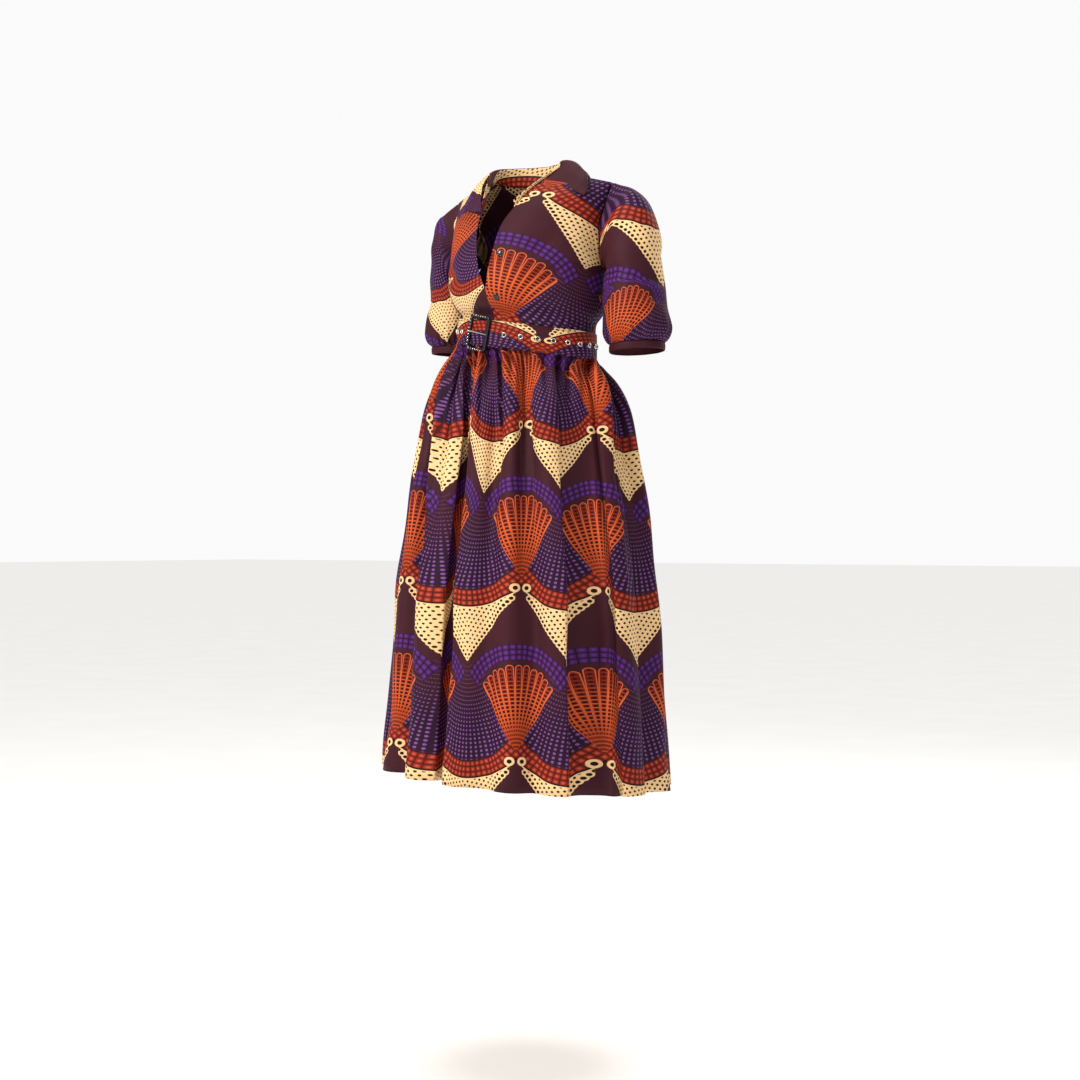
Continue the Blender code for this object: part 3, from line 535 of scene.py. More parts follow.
# %% Sizes shared with the solids
GAP = 0.0004
SHOULDER_TIP = (0.173, 0.020, -0.036)
NECK_SIDE = (0.070, 0.004, -0.008)
WAIST_Z = -0.305
WAIST_TILT = 0.020
WAIST_TILT_FADE = 0.055
HEM_Z = -1.097
HEM_TILT = 0.017
HEM_TILT_FROM = 35.0
BELT_HEIGHT = 0.048
BELT_WALL = 0.0026
CUFF_HEIGHT = 0.014
ARMHOLE_FROM = 4  # the row of FRONT and BACK at the armpit
NECK_SHARE = 0.42
BACK_NECK = (0.064, -0.012)


def table(columns, *rows):
    """Rows of numbers as one array for each named column."""
    return dict(zip(columns.split(), np.array(rows, float).T))


print("waist at", WAIST_Z, "and hem at", HEM_Z)

# %% [markdown]
# ### Sections of the bodice
#
# A bodice panel is a piece of cloth bent round the chest. Each row below is one level section of
# it, and a curve through the rows gives the blousing over the belt.

# %% Sections of the fronts and the back
# Sections of one front, from the waist seam up to the shoulder seam. A section runs from its inner
# end, at the centre front or the neck edge, to its outer end, at the side seam or the armhole.
# open_x is the inner end of the right front, which stands open and laps under below the opening.
FRONT = table(
    "x_in   open_x   y_in    z_in    x_out   y_out   z_out   sweep",
    (0.000, -0.018, -0.0985, -0.3050, 0.1320, 0.004, -0.3050, 90),
    (0.000, -0.018, -0.0990, -0.2740, 0.1325, 0.006, -0.2740, 90),
    (0.000, -0.012, -0.1160, -0.2500, 0.1470, 0.013, -0.2520, 90),
    (0.001, 0.004, -0.1270, -0.2250, 0.1540, 0.021, -0.2250, 90),
    (0.004, 0.020, -0.1230, -0.1900, 0.1565, 0.021, -0.1900, 90),
    (0.005, 0.023, -0.1210, -0.1810, 0.1550, 0.011, -0.1810, 89),
    (0.008, 0.030, -0.1140, -0.1550, 0.1520, 0.008, -0.1550, 87),
    (0.014, 0.038, -0.1000, -0.1150, 0.1520, 0.007, -0.1150, 82),
    (0.031, 0.042, -0.0800, -0.0780, 0.1610, 0.011, -0.0760, 66),
    (0.070, 0.070, 0.0040, -0.0080, 0.1730, 0.020, -0.0360, 2),
)

# The same for half of the back, from its centre line out to the side seam or the armhole.
BACK = table(
    "x_in   y_in    z_in    x_out   y_out   z_out   sweep",
    (0.000, 0.0940, -0.3050, 0.1320, 0.004, -0.3050, 90),
    (0.000, 0.0950, -0.2740, 0.1325, 0.006, -0.2740, 90),
    (0.000, 0.1070, -0.2500, 0.1470, 0.013, -0.2520, 90),
    (0.000, 0.1120, -0.2250, 0.1540, 0.021, -0.2250, 90),
    (0.000, 0.1140, -0.1900, 0.1565, 0.021, -0.1900, 90),
    (0.000, 0.1145, -0.1810, 0.1550, 0.040, -0.1815, 84),
    (0.000, 0.1150, -0.1550, 0.1520, 0.060, -0.1580, 76),
    (0.000, 0.1120, -0.1150, 0.1500, 0.074, -0.1180, 60),
    (0.000, 0.1000, -0.0700, 0.1610, 0.062, -0.0740, 48),
)
print("bodice sections:", len(FRONT["x_in"]), "in front and", len(BACK["x_in"]), "behind")

# %% [markdown]
# ### Rings of a sleeve
#
# A sleeve is a tube that leaves the bodice almost level at the armhole and hangs upright at the
# cuff. Rings that turn from one to the other give it a soft bend without a kink at the armpit.

# %% Rings of the sleeves
# Rings of a sleeve below its armhole. The underarm point is a ring's innermost one, and tilt
# is how far the ring has turned from upright to level, reach its size from there outwards and
# depth its half size from front to back. back, inward and up move the rings of the right sleeve,
# which swings back, and its underarm point takes the share under of that. slim takes in their
# outer side.
SLEEVE = table(
    "under_x under_z tilt  reach  depth  y      back   under inward up     slim",
    (0.1650, -0.1930, 19.3, 0.149, 0.0430, 0.027, 0.001, 0.00, -0.002, 0.000, 0.010),
    (0.1665, -0.1965, 35.0, 0.136, 0.0490, 0.027, 0.010, 0.10, -0.002, 0.000, 0.018),
    (0.1665, -0.2020, 52.6, 0.116, 0.0530, 0.026, 0.028, 0.15, 0.001, 0.000, 0.014),
    (0.1645, -0.2110, 71.5, 0.105, 0.0550, 0.024, 0.038, 0.30, 0.003, 0.002, 0.008),
    (0.1630, -0.2340, 80.7, 0.106, 0.0570, 0.021, 0.044, 0.70, 0.007, 0.008, 0.003),
    (0.1635, -0.2680, 83.4, 0.113, 0.0595, 0.020, 0.047, 0.95, 0.010, 0.015, 0.000),
    (0.1640, -0.3030, 85.0, 0.119, 0.0610, 0.020, 0.048, 1.00, 0.010, 0.020, 0.000),
    (0.1700, -0.3200, 86.0, 0.107, 0.0550, 0.021, 0.048, 1.00, 0.009, 0.022, 0.000),
    (0.1740, -0.3270, 87.0, 0.097, 0.0490, 0.022, 0.048, 1.00, 0.009, 0.024, 0.000),
)
ARMPIT_ROUND = 0.35  # of a turn's radians to each side of the armpit
SLEEVE_GATHERS = 10
SLEEVE_GATHER_DEPTH = 0.0022
print("sleeve rings:", len(SLEEVE["tilt"]))

# %% [markdown]
# ### Folds of the skirt
#
# Gathered cloth hangs in deep folds. Each is a valley with its own place at the waist and the hem,
# so that they wander a little, as real ones do. A cloth simulation would fold it too, but not
# where the photograph shows the folds.

# %% The skirt's form and its folds
# The skirt's outer form at its ridges: half its width and half its depth at each height.
SKIRT = table(
    "z      width   depth",
    (-0.305, 0.1325, 0.0985),
    (-0.334, 0.1345, 0.1000),
    (-0.352, 0.1430, 0.1110),
    (-0.380, 0.1640, 0.1350),
    (-0.422, 0.1840, 0.1580),
    (-0.500, 0.2020, 0.1790),
    (-0.620, 0.2260, 0.2040),
    (-0.770, 0.2480, 0.2250),
    (-0.940, 0.2590, 0.2390),
    (-1.097, 0.2720, 0.2540),
)
# The skirt's folds in their order round it. waist and hem are the angles of a fold's valley,
# counted from the centre front towards the dress's left. before and after are the reach of the
# valley's two flanks, as shares of the way to the next valley, flat is how flat its floor is.
FOLDS = table(
    "waist  hem   before after flat depth",
    (-46, -7, 0.20, 0.20, 2, 0.030),
    (-13, 16, 0.32, 0.26, 2, 0.020),
    (23, 36, 0.26, 0.20, 2, 0.022),
    (81, 61, 0.34, 0.30, 4, 0.026),
    (128, 94, 0.22, 0.26, 2, 0.026),
    (143, 117, 0.24, 0.22, 2, 0.024),
    (159, 143, 0.20, 0.28, 2, 0.030),
    (174, 166, 0.30, 0.22, 3, 0.022),
    (189, 191, 0.22, 0.24, 2, 0.028),
    (205, 216, 0.26, 0.20, 2, 0.024),
    (220, 240, 0.20, 0.26, 2, 0.030),
    (236, 266, 0.30, 0.24, 3, 0.024),
    (252, 289, 0.22, 0.24, 2, 0.026),
    (271, 311, 0.24, 0.22, 2, 0.022),
    (291, 332, 0.22, 0.26, 2, 0.026),
)
FOLD_DEPTH = table(
    "z share",
    (-0.305, 0.05),
    (-0.334, 0.07),
    (-0.360, 0.28),
    (-0.400, 0.55),
    (-0.480, 0.85),
    (-0.620, 1.00),
    (-0.850, 1.00),
    (-1.097, 1.10),
)
FOLDS_SPREAD = 0.055  # how far below the waist the folds take to reach their own line
GATHER_DEPTH = 0.0035  # of the small gathers between folds, just below the belt
GATHERS_FADE = 0.060
SIDE_ANGLES = (90.0, 270.0)  # the side seams, round from the centre front
print("skirt folds:", len(FOLDS["hem"]))

# %% [markdown]
# ### The collar's two lines
#
# A turned-down collar is a strip bent along its fold, so two lines carry its whole form: the fold
# and the outer edge. The last rows differ from the solid's: the right leaf runs on down the
# opening, and the left one comes further forward, as the photograph shows them.

# %% The collar's fold and edge
# The collar's fall, from the centre back round to its two front edges: the fold at the stand's
# top, the outer edge, and how far the fall stands above the straight line between them. The left
# end is spread wide over the shoulder and the right end less.
COLLAR_LEFT = table(
    "fold_x fold_y fold_z  edge_x edge_y edge_z  lift",
    (0.000, 0.0680, 0.0210, 0.000, 0.0860, -0.0240, 0.006),
    (0.044, 0.0540, 0.0210, 0.060, 0.0800, -0.0270, 0.009),
    (0.066, 0.0280, 0.0180, 0.110, 0.0500, -0.0240, 0.011),
    (0.074, 0.0040, 0.0120, 0.131, 0.0060, -0.0190, 0.008),
    (0.082, -0.0120, -0.0020, 0.148, -0.0240, -0.0530, 0.009),
    (0.064, -0.0340, -0.0280, 0.143, -0.0280, -0.0630, 0.003),
)
COLLAR_RIGHT = table(
    "fold_x fold_y fold_z  edge_x edge_y edge_z  lift",
    (0.000, 0.0680, 0.0210, 0.000, 0.0860, -0.0240, 0.006),
    (-0.044, 0.0540, 0.0210, -0.060, 0.0800, -0.0270, 0.009),
    (-0.066, 0.0280, 0.0180, -0.106, 0.0500, -0.0240, 0.011),
    (-0.074, 0.0040, 0.0120, -0.117, 0.0080, -0.0180, 0.006),
    (-0.076, -0.0180, -0.0020, -0.106, -0.0470, -0.0540, 0.006),
    (-0.066, -0.0450, -0.0220, -0.078, -0.0780, -0.0740, 0.005),
    (-0.047, -0.0810, -0.0600, -0.036, -0.0900, -0.0840, 0.000),
)
COLLAR_SPAN = 4  # rows from the centre back to where the solid's fall ends
COLLAR_WALL = 0.0018
STAND_INSET = 0.0018
STAND_END = 0.011  # the stand's height at its two front ends
STAND_PAST = 1.35  # how far the stand runs, as a multiple of the fall's length
STAND_FROM = 8.0  # the place among FRONT's rows where the stand's front end sits
print("collar sections:", len(COLLAR_LEFT["lift"]), "left and", len(COLLAR_RIGHT["lift"]), "right")

# %% [markdown]
# ### Curves
#
# A curve through measured rows mustn't swing past them, or the cloth would bulge where nobody
# measured it. This one keeps its slope between the steps before and after each row.

# %% A smooth curve, a bell and unit vectors
def spline(knots, at):
    """A smooth curve through the rows of knots that never swings past them. at counts the rows.
    Each row's slope is the harmonic mean of the steps before and after it, or none at a turn."""
    knots = np.asarray(knots, float)
    steps = np.diff(knots, axis=0)
    steps = np.concatenate([steps[:1], steps, steps[-1:]])
    before, after = steps[:-1], steps[1:]
    same = before * after > 0
    slopes = np.where(same, 2 * before * after / np.where(same, before + after, 1), 0)
    at = np.clip(np.asarray(at, float), 0, len(knots) - 1 - 1e-9)
    row = at.astype(int)
    t = (at - row).reshape(at.shape + (1,) * (knots.ndim - 1))
    rise = t * t * (3 - 2 * t)
    leave, arrive = t * (1 - t) ** 2, -t * t * (1 - t)
    start, end = knots[row], knots[row + 1]
    return start + (end - start) * rise + slopes[row] * leave + slopes[row + 1] * arrive


def bell(distance, width):
    """A bell curve: 1 at no distance, 0.37 at one width and next to nothing from two on."""
    return np.exp(-((distance / width) ** 2))


def unit(vectors):
    """Vectors in the same directions, each 1 long."""
    return vectors / np.linalg.norm(vectors, axis=-1, keepdims=True)


print("a quarter of the way from 0 to 1, with 3 next:", spline([0, 1, 3], 0.25))

# %% [markdown]
# ### Surfaces of the bodice
#
# Each panel is a function of two numbers: u across the cloth and v up its rows. The waist is lower
# on the left side, so the rows near it lean.

# %% The fronts and the back
def lean(points):
    """Points near the waist, moved down on the left side and up on the right."""
    near = bell(points[..., 2] - WAIST_Z, WAIST_TILT_FADE)
    drop = WAIST_TILT * points[..., 0] / 0.134 * near
    return points - np.stack([0 * drop, 0 * drop, drop], axis=-1)


def sections(form, inner_x, u):
    """Every section of a panel as points [section, u]: arcs of ellipses from inner to outer end.
    A sweep of 90 degrees is a quarter of an ellipse, and a small one is nearly straight."""
    turn = np.radians(form["sweep"])[:, None]
    x_in, x_out = inner_x[:, None], form["x_out"][:, None]
    y_in, y_out = form["y_in"][:, None], form["y_out"][:, None]
    x = x_in + (x_out - x_in) * np.sin(u * turn) / np.sin(turn)
    y = y_out + (y_in - y_out) * (np.cos(u * turn) - np.cos(turn)) / (1 - np.cos(turn))
    z = form["z_in"][:, None] + (form["z_out"] - form["z_in"])[:, None] * u
    return np.stack([x, y, z], axis=-1)


def front(u, v, right=False):
    """The front's outer surface, points [v, u]: u runs from the front edge to the side, v counts
    the rows of FRONT. The right front is the mirror image, further open and a little flatter,
    so that it passes under the left one."""
    form = dict(FRONT)
    if right:
        form["y_in"] = FRONT["y_in"] + 0.0035 * np.clip((-0.1 - FRONT["z_in"]) / 0.1, 0, 1)
    knots = sections(form, form["open_x" if right else "x_in"], u)
    behind = sections(BACK, BACK["x_in"], NECK_SHARE + (1 - NECK_SHARE) * u)[-1]
    points = spline(np.concatenate([knots, [behind]]), np.minimum(v, len(knots) - 1))
    return lean(points * ((-1 if right else 1), 1, 1))


def back(u, v):
    """The back's outer surface, points [v, u]: u runs from -1, the right side, to 1, the left.
    Its top edge is neckline in the middle and shoulder seam outside it."""
    half = np.abs(u)
    knots = sections(BACK, BACK["x_in"], half)
    on_neck = np.clip(half / NECK_SHARE, 0, 1)
    out = np.clip((half - NECK_SHARE) / (1 - NECK_SHARE), 0, 1)
    neck_x, neck_y, neck_z = NECK_SIDE
    tip_x, tip_y, tip_z = SHOULDER_TIP
    turn = on_neck * math.pi / 2
    top = np.stack(
        [
            neck_x * np.sin(turn) + (tip_x - neck_x) * out,
            neck_y + (BACK_NECK[0] - neck_y) * np.cos(turn) + (tip_y - neck_y) * out,
            neck_z + (BACK_NECK[1] - neck_z) * np.cos(turn) + (tip_z - neck_z) * out,
        ],
        axis=-1,
    )
    ahead = sections(FRONT, FRONT["x_in"], out)[-2]
    risen = 2 * top - knots[-1]
    ahead = np.where((half > NECK_SHARE)[:, None], ahead, risen)
    points = spline(np.concatenate([knots, [top, ahead]]), np.minimum(v, len(knots)))
    side = np.where(u < 0, -1.0, 1.0)
    return lean(points * np.stack([side, np.ones_like(u), np.ones_like(u)], axis=-1))


print("shoulder tip at", front(np.array([1.0]), np.array([9.0]))[0, 0].round(3))

# %% [markdown]
# ### Surfaces of the sleeves
#
# A sleeve starts on the armhole's own edge, so that no gap opens between it and the bodice.

# %% Armholes and sleeves
def armhole(tau, right=False):
    """An armhole's edge: tau runs from 0 at the armpit, up the front to half a turn at the
    shoulder, and down the back."""
    share = tau / math.pi % 2
    up = ARMHOLE_FROM + (len(FRONT["z_in"]) - 1 - ARMHOLE_FROM) * share
    down = ARMHOLE_FROM + (len(BACK["z_in"]) - ARMHOLE_FROM) * (2 - share)
    rise = front(np.array([1.0]), up, right)[:, 0]
    fall = back(np.array([-1.0 if right else 1.0]), down)[:, 0]
    return np.where((share <= 1)[:, None], rise, fall)


def sleeve_head(tau, right=False):
    """A sleeve's first ring: the armhole's edge, rounded off where it is pointed at the armpit."""
    beside = (armhole(tau - ARMPIT_ROUND, right) + armhole(tau + ARMPIT_ROUND, right)) / 2
    from_armpit = np.abs((tau + math.pi) % (2 * math.pi) - math.pi)
    near = bell(from_armpit, ARMPIT_ROUND)[:, None]
    return armhole(tau, right) * (1 - near) + beside * near


def sleeve(tau, v, right=False):
    """A sleeve's outer surface, points [v, tau], from its armhole (v 0) to its cuff."""
    side = -1 if right else 1
    rings = [sleeve_head(tau, right) + np.array([side * GAP * 2.5, 0, 0])]
    for row in range(len(SLEEVE["tilt"])):
        ring = {name: column[row] for name, column in SLEEVE.items()}
        tilt = math.radians(ring["tilt"])
        across = ring["reach"] / 2 * (1 - np.cos(tau))
        x = ring["under_x"] + across * math.sin(tilt)
        y = ring["y"] - ring["depth"] * np.sin(tau)
        z = ring["under_z"] + across * math.cos(tilt)
        if right:
            x = x - ring["inward"] - ring["slim"] * (1 - np.cos(tau)) / 2
            outer = (1 - np.cos(tau)) / 2
            y = y + ring["back"] * (ring["under"] + (1 - ring["under"]) * outer)
            z = z + ring["up"]
        rings.append(np.stack([side * x, y, z], axis=-1))
    points = spline(np.array(rings), v)
    from_cuff = (len(rings) - 1 - v)[:, None]
    wave = SLEEVE_GATHER_DEPTH * bell(from_cuff - 1.2, 0.9) * np.cos(SLEEVE_GATHERS * tau)
    away = unit(points - points.mean(axis=1, keepdims=True))
    return points + away * wave[..., None]


ring = sleeve(np.arange(8) * math.pi / 4, np.array([9.0]))[0]
print("left sleeve ends round", ring.mean(axis=0).round(3))

# %% [markdown]
# ### The skirt's surface
#
# The phase counts the folds round the skirt, so a whole number is always the bottom of a valley,
# however far the folds wander.

# %% The skirt
def around(values, phase):
    """A smooth value round the skirt: values holds one for each fold, phase counts the folds."""
    ring = np.concatenate([values - 360, values, values + 360])
    return spline(ring, phase + len(values))


def skirt(phase, v):
    """The skirt's outer surface, points [v, phase]. phase counts the folds, and v the rows of
    SKIRT. Each valley is a bell-shaped trough below the ridges' form."""
    z = spline(SKIRT["z"], v)
    width = spline(SKIRT["width"], v)[:, None]
    depth = spline(SKIRT["depth"], v)[:, None]
    fall = np.maximum(WAIST_Z - z, 0)[:, None]
    at_waist = around(FOLDS["waist"], phase)
    at_hem = around(FOLDS["hem"], phase)
    angle = np.radians(at_hem + (at_waist - at_hem) * np.exp(-fall / FOLDS_SPREAD))
    count = len(FOLDS["waist"])
    nearest = np.round(phase).astype(int)
    away = phase - nearest
    fold = nearest % count
    reach = np.where(away < 0, FOLDS["before"][fold], FOLDS["after"][fold])
    trough = FOLDS["depth"][fold] * np.exp(-np.abs(away / reach) ** FOLDS["flat"][fold])
    share = np.interp(-z, -FOLD_DEPTH["z"], FOLD_DEPTH["share"])[:, None]
    inwards = trough * share
    small = GATHER_DEPTH * bell(fall - 0.055, GATHERS_FADE)
    small = small * (1 - np.exp(-fall / 0.015))
    inwards = inwards + small * (1 + np.cos(4 * math.pi * (phase - 0.25))) / 2
    x, y = width * np.sin(angle), -depth * np.cos(angle)
    normal = unit(np.stack([x / width**2, y / depth**2], axis=-1))
    drop = fall / (WAIST_Z - HEM_Z)
    low = z[:, None] - HEM_TILT * drop * np.sin(angle - math.radians(HEM_TILT_FROM))
    low = low - WAIST_TILT * np.sin(angle) * bell(fall, 0.25)
    return np.stack([x - normal[..., 0] * inwards, y - normal[..., 1] * inwards, low], axis=-1)


def phase_at(angle):
    """The place among the folds where the skirt's hem is at this angle, in degrees."""
    phases = np.linspace(0, len(FOLDS["hem"]), 2000)
    return float(np.interp(angle, around(FOLDS["hem"], phases), phases))


print("side seams among the folds:", [round(phase_at(angle), 2) for angle in SIDE_ANGLES])

# %% [markdown]
# ### Outward, and the cuffs
#
# Gathers push the cloth in and out, so each point needs to know which way is out. The cross
# product of two small steps along the surface tells it. A cuff goes straight on from its sleeve.

# %% Outward directions and the cuffs
def outward(surface, u, v, flip):
    """A surface's outward direction over the grid [v, u], from small steps along it."""
    small = 1e-4
    across = surface(u + small, v) - surface(u - small, v)
    ends = np.clip(v + small, v.min(), v.max()), np.clip(v - small, v.min(), v.max())
    along = surface(u, ends[0]) - surface(u, ends[1])
    return unit(np.cross(along, across) if flip else np.cross(across, along))


def cuff(tau, height, right=False):
    """A cuff's outer surface, points [height, tau], straight down from the sleeve's end."""
    ring = sleeve(tau, np.array([len(SLEEVE["tilt"]) * 1.0]), right)[0]
    centre = sleeve(np.arange(24) * math.pi / 12, np.array([len(SLEEVE["tilt"]) * 1.0]), right)
    centre = centre.mean(axis=(0, 1))
    drop = GAP * 2 + height * CUFF_HEIGHT
    return centre + (ring - centre) * 0.995 - drop[:, None, None] * np.array([0, 0, 1.0])


print("left cuff ends round", cuff(np.arange(8) * math.pi / 4, np.ones(1))[0].mean(axis=0).round(3))

# %% [markdown]
# ### Surfaces of the collar
#
# The stand rises from the neck edge to the fold, and the fall turns over it and back down.

# %% Neck edge, stand and fall
def neckline(share):
    """The bodice's neck edge, drawn a little away from the cloth below it: share runs from 0 at
    the left front end, round the back, to 1."""
    v = np.linspace(STAND_FROM, len(FRONT["z_in"]) - 1, 9)
    edge = np.array([0.0, 0.03])
    last = len(BACK["z_in"]) * 1.0
    across = np.linspace(NECK_SHARE, -NECK_SHARE, 17)[1:-1]
    left, right = front(edge, v), front(edge, v, right=True)[::-1]
    behind = back(across, np.array([last, last - 0.1])).swapaxes(0, 1)
    path = np.concatenate([left, behind, right])
    path = path[:, 0] + unit(path[:, 0] - path[:, 1]) * GAP * 2
    length = np.concatenate([[0], np.cumsum(np.linalg.norm(np.diff(path, axis=0), axis=1))])
    return np.stack([np.interp(share * length[-1], length, path[:, i]) for i in range(3)], axis=-1)


def collar_line(kind, half):
    """The collar's fold or edge line as points, half running from the right end at -1, through
    the centre back at 0, to the left end at 1."""
    at = np.abs(half) * COLLAR_SPAN
    columns = [
        np.where(half < 0, spline(COLLAR_RIGHT[column], at), spline(COLLAR_LEFT[column], at))
        for column in (f"{kind}_x", f"{kind}_y", f"{kind}_z")
    ]
    return np.stack(columns, axis=-1)


def collar_stand(share, height):
    """The stand's outer surface, points [height, share]: up from the neckline to just under the
    fold, and in front of the fold's ends down to a low strip along the neckline."""
    base = neckline(share)
    half = (1 - 2 * share) * STAND_PAST
    fold = collar_line("fold", np.clip(half, -1, 1))
    inwards = unit((fold - collar_line("edge", np.clip(half, -1, 1))) * np.array([1.0, 1.0, 0.0]))
    fold = fold + inwards * STAND_INSET - np.array([0, 0, COLLAR_WALL])
    past = np.clip((np.abs(half) - 1) / (STAND_PAST - 1), 0, 1)[:, None]
    low = base + np.array([0, -0.002, STAND_END])
    top = fold + (low - fold) * past**0.6
    return base + (top - base) * height[:, None, None]


def collar_fall(half, w):
    """The fall's upper surface, points [w, half], arched from the fold (w 0) to its edge."""
    at = np.abs(half) * COLLAR_SPAN
    fold, edge = collar_line("fold", half), collar_line("edge", half)
    w = w[:, None, None]
    lift = np.where(half < 0, spline(COLLAR_RIGHT["lift"], at), spline(COLLAR_LEFT["lift"], at))
    arch = 4 * w * (1 - w) * lift[None, :, None]
    return fold + (edge - fold) * w + arch * np.array([0, 0, 1.0])


print("middle of the back neck edge at", neckline(np.array([0.5]))[0].round(3))

# %% [markdown]
# ### The belt's path
#
# A belt is a strip wound round the waist. Its start lies under the buckle, and its tail climbs
# over that start and comes back through the frame.

# %% The belt
def belt_at(angle, out, height):
    """A point on the belt: angle in degrees round from the centre front, out from the waist."""
    turn = np.radians(angle)
    width, depth = 0.1345 + out, 0.1000 + out
    x, y = width * np.sin(turn), -depth * np.cos(turn)
    z = WAIST_Z + height - WAIST_TILT * np.sin(turn)
    return np.stack([x, y, z], axis=-1)


BUCKLE_ANGLE = -13.0
BELT_START = BUCKLE_ANGLE + 4
BELT_INNER = 0.0001
BELT_LAP = BELT_WALL + 0.0007
BELT_TAIL = 44.0  # degrees of the belt's free end past the buckle


def belt_out(along):
    """How far the belt's outer face stands off the waist, along being degrees from its start."""
    climb = np.clip((along - 300) / 40, 0, 1)
    return BELT_INNER + BELT_WALL + BELT_LAP * climb**2 * (3 - 2 * climb)


def belt(along, height):
    """The belt's outer face, points [height, along], with a pointed end."""
    narrow = 1 - 0.8 * np.clip((along - (360 + BELT_TAIL - 7)) / 7, 0, 1)
    angle = BELT_START - along
    rows = [belt_at(angle, belt_out(along), high * narrow * BELT_HEIGHT / 2) for high in height]
    return np.stack(rows)


def on_belt(angle, out):
    """A point out from the waist at this angle, and the outward direction there."""
    ahead = belt_at(angle + 0.5, out, 0.0) - belt_at(angle - 0.5, out, 0.0)
    return belt_at(angle, out, 0.0), Vector((ahead[1], -ahead[0], 0)).normalized()


def turned_to(normal):
    """The rotation that takes +Z to this direction and keeps +Y as upright as it can."""
    return normal.to_track_quat("Z", "Y").to_matrix().to_4x4()


print("belt tail:", BELT_TAIL, "degrees")

# %% [markdown]
# ## Making a cloth shell
#
# Each piece of cloth is a grid of points on its solid's outer face, moved a little by gathers and
# creases. Faces join the grid, a UV map named cloth holds the flat place of each point in metres,
# and a Solidify modifier gives the wall on the inside, so the fitted outside stays where it is.

# %% Shells, lengths and creases
CLOTH = 0.0009


def lengths(points, axis, parts=(0, 1, 2)):
    """Distance run along the rows or columns of a grid, summed from steps between neighbours.
    parts names the coordinates that count."""
    steps = np.diff(points[..., list(parts)], axis=axis)
    steps = np.linalg.norm(steps, axis=-1)
    start = np.zeros_like(np.take(steps, [0], axis=axis))
    return np.concatenate([start, np.cumsum(steps, axis=axis)], axis=axis)


def grid_faces(rows, columns, turned):
    """Four-sided faces between the rows and columns of a grid. turned reverses their order."""
    index = np.arange(rows * columns).reshape(rows, columns)
    sides = [index[:-1, :-1], index[:-1, 1:], index[1:, 1:], index[1:, :-1]]
    return np.stack([side.ravel() for side in sides[:: -1 if turned else 1]], axis=-1)


def put(name, vertices, faces, look, uvs=None, smooth=True):
    """A mesh object from arrays of vertices and faces, with flat places for its corners."""
    mesh = bpy.data.meshes.new(name)
    mesh.from_pydata(vertices.tolist(), [], faces.tolist())
    if uvs is not None:
        layer = mesh.uv_layers.new(name="cloth")
        layer.data.foreach_set("uv", uvs.astype(np.float32).ravel())
    mesh.materials.append(look)
    if smooth:
        mesh.shade_smooth()
    made = bpy.data.objects.new(name, mesh)
    bpy.context.scene.collection.objects.link(made)
    return made


def shell(name, points, flat_places, turned, wrap=False, wall=CLOTH, look=None):
    """A cloth shell from points [v, u] and their flat places. wrap joins the last column to the
    first: the grid then has one column more in its flat places than in its points."""
    rows, columns = points.shape[:2]
    wide = columns + 1 if wrap else columns
    corners = grid_faces(rows, wide, turned)
    column = corners % wide
    faces = corners // wide * columns + np.where(column == columns, 0, column)
    flat = flat_places.reshape(-1, 2)[corners.ravel()]
    made = put(name, points.reshape(-1, 3), faces, look or printed, flat)
    solid = made.modifiers.new("cloth", "SOLIDIFY")
    solid.thickness = wall
    solid.offset = -1.0
    return made


def dress(made, node, flat):
    """Hides the CAD solid that a cloth piece stands for, prints what it was cut from and hangs it
    on the root that it rides on.
    """
    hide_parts(node)
    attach(made, "root")
    print(made.name, "cut", flat)
    return made


def creases(s, t, *lines):
    """Soft ridges and troughs along straight lines in the flat cloth. Each line is its two ends,
    its width and its depth, outwards if positive. Across the line it is a bell curve, and along
    it a half sine, so that it starts and ends at nothing."""
    total = np.zeros_like(s)
    for from_s, from_t, to_s, to_t, width, depth in lines:
        run_s, run_t = to_s - from_s, to_t - from_t
        share = ((s - from_s) * run_s + (t - from_t) * run_t) / (run_s**2 + run_t**2)
        share = np.clip(share, 0, 1)
        away = np.hypot(s - from_s - share * run_s, t - from_t - share * run_t)
        total += depth * bell(away, width) * np.sin(np.pi * share)
    return total


def unevenness(s, t, size, depth, seed):
    """Gentle waviness: the mean of six plane waves about size long, in seeded directions."""
    draw = np.random.default_rng(seed)
    total = np.zeros_like(s)
    for turn, phase, stretch in draw.uniform((0, 0, 0.7), (np.pi, 2 * np.pi, 1.4), (6, 3)):
        wave = 2 * np.pi / (size * stretch)
        total += np.sin(wave * (s * np.cos(turn) + t * np.sin(turn)) + phase)
    return total / 6 * depth * 2.4


def gathers(s, height, pitch, depth, fade, seed, start=0.004, narrow=1.6):
    """Small upright folds that a gathered seam gives: uneven waves across the cloth, nothing at
    the seam itself, deepest just beyond it and fading over the fade length."""
    draw = np.random.default_rng(seed)
    phase = draw.uniform(0, 2 * np.pi, 3)
    drift = 0.9 * np.sin(s / pitch * 0.83 + phase[0]) + 0.6 * np.sin(s / pitch * 1.57 + phase[1])
    wave = 1 - 2 * (0.5 - 0.5 * np.cos(2 * np.pi * s / pitch + drift)) ** narrow
    swell = 0.75 + 0.25 * np.sin(s / pitch * 2.1 + phase[2])
    return depth * wave * swell * bell(height, fade) * (1 - np.exp(-height / start))


def edge_dip(share, span, depth=0.0010, width=0.0022):
    """A seam's hollow at both ends of a span, from shares 0 to 1 along it."""
    near = np.minimum(share, 1 - share) * span
    return -depth * bell(near, width)


print("cloth wall:", CLOTH, "m")

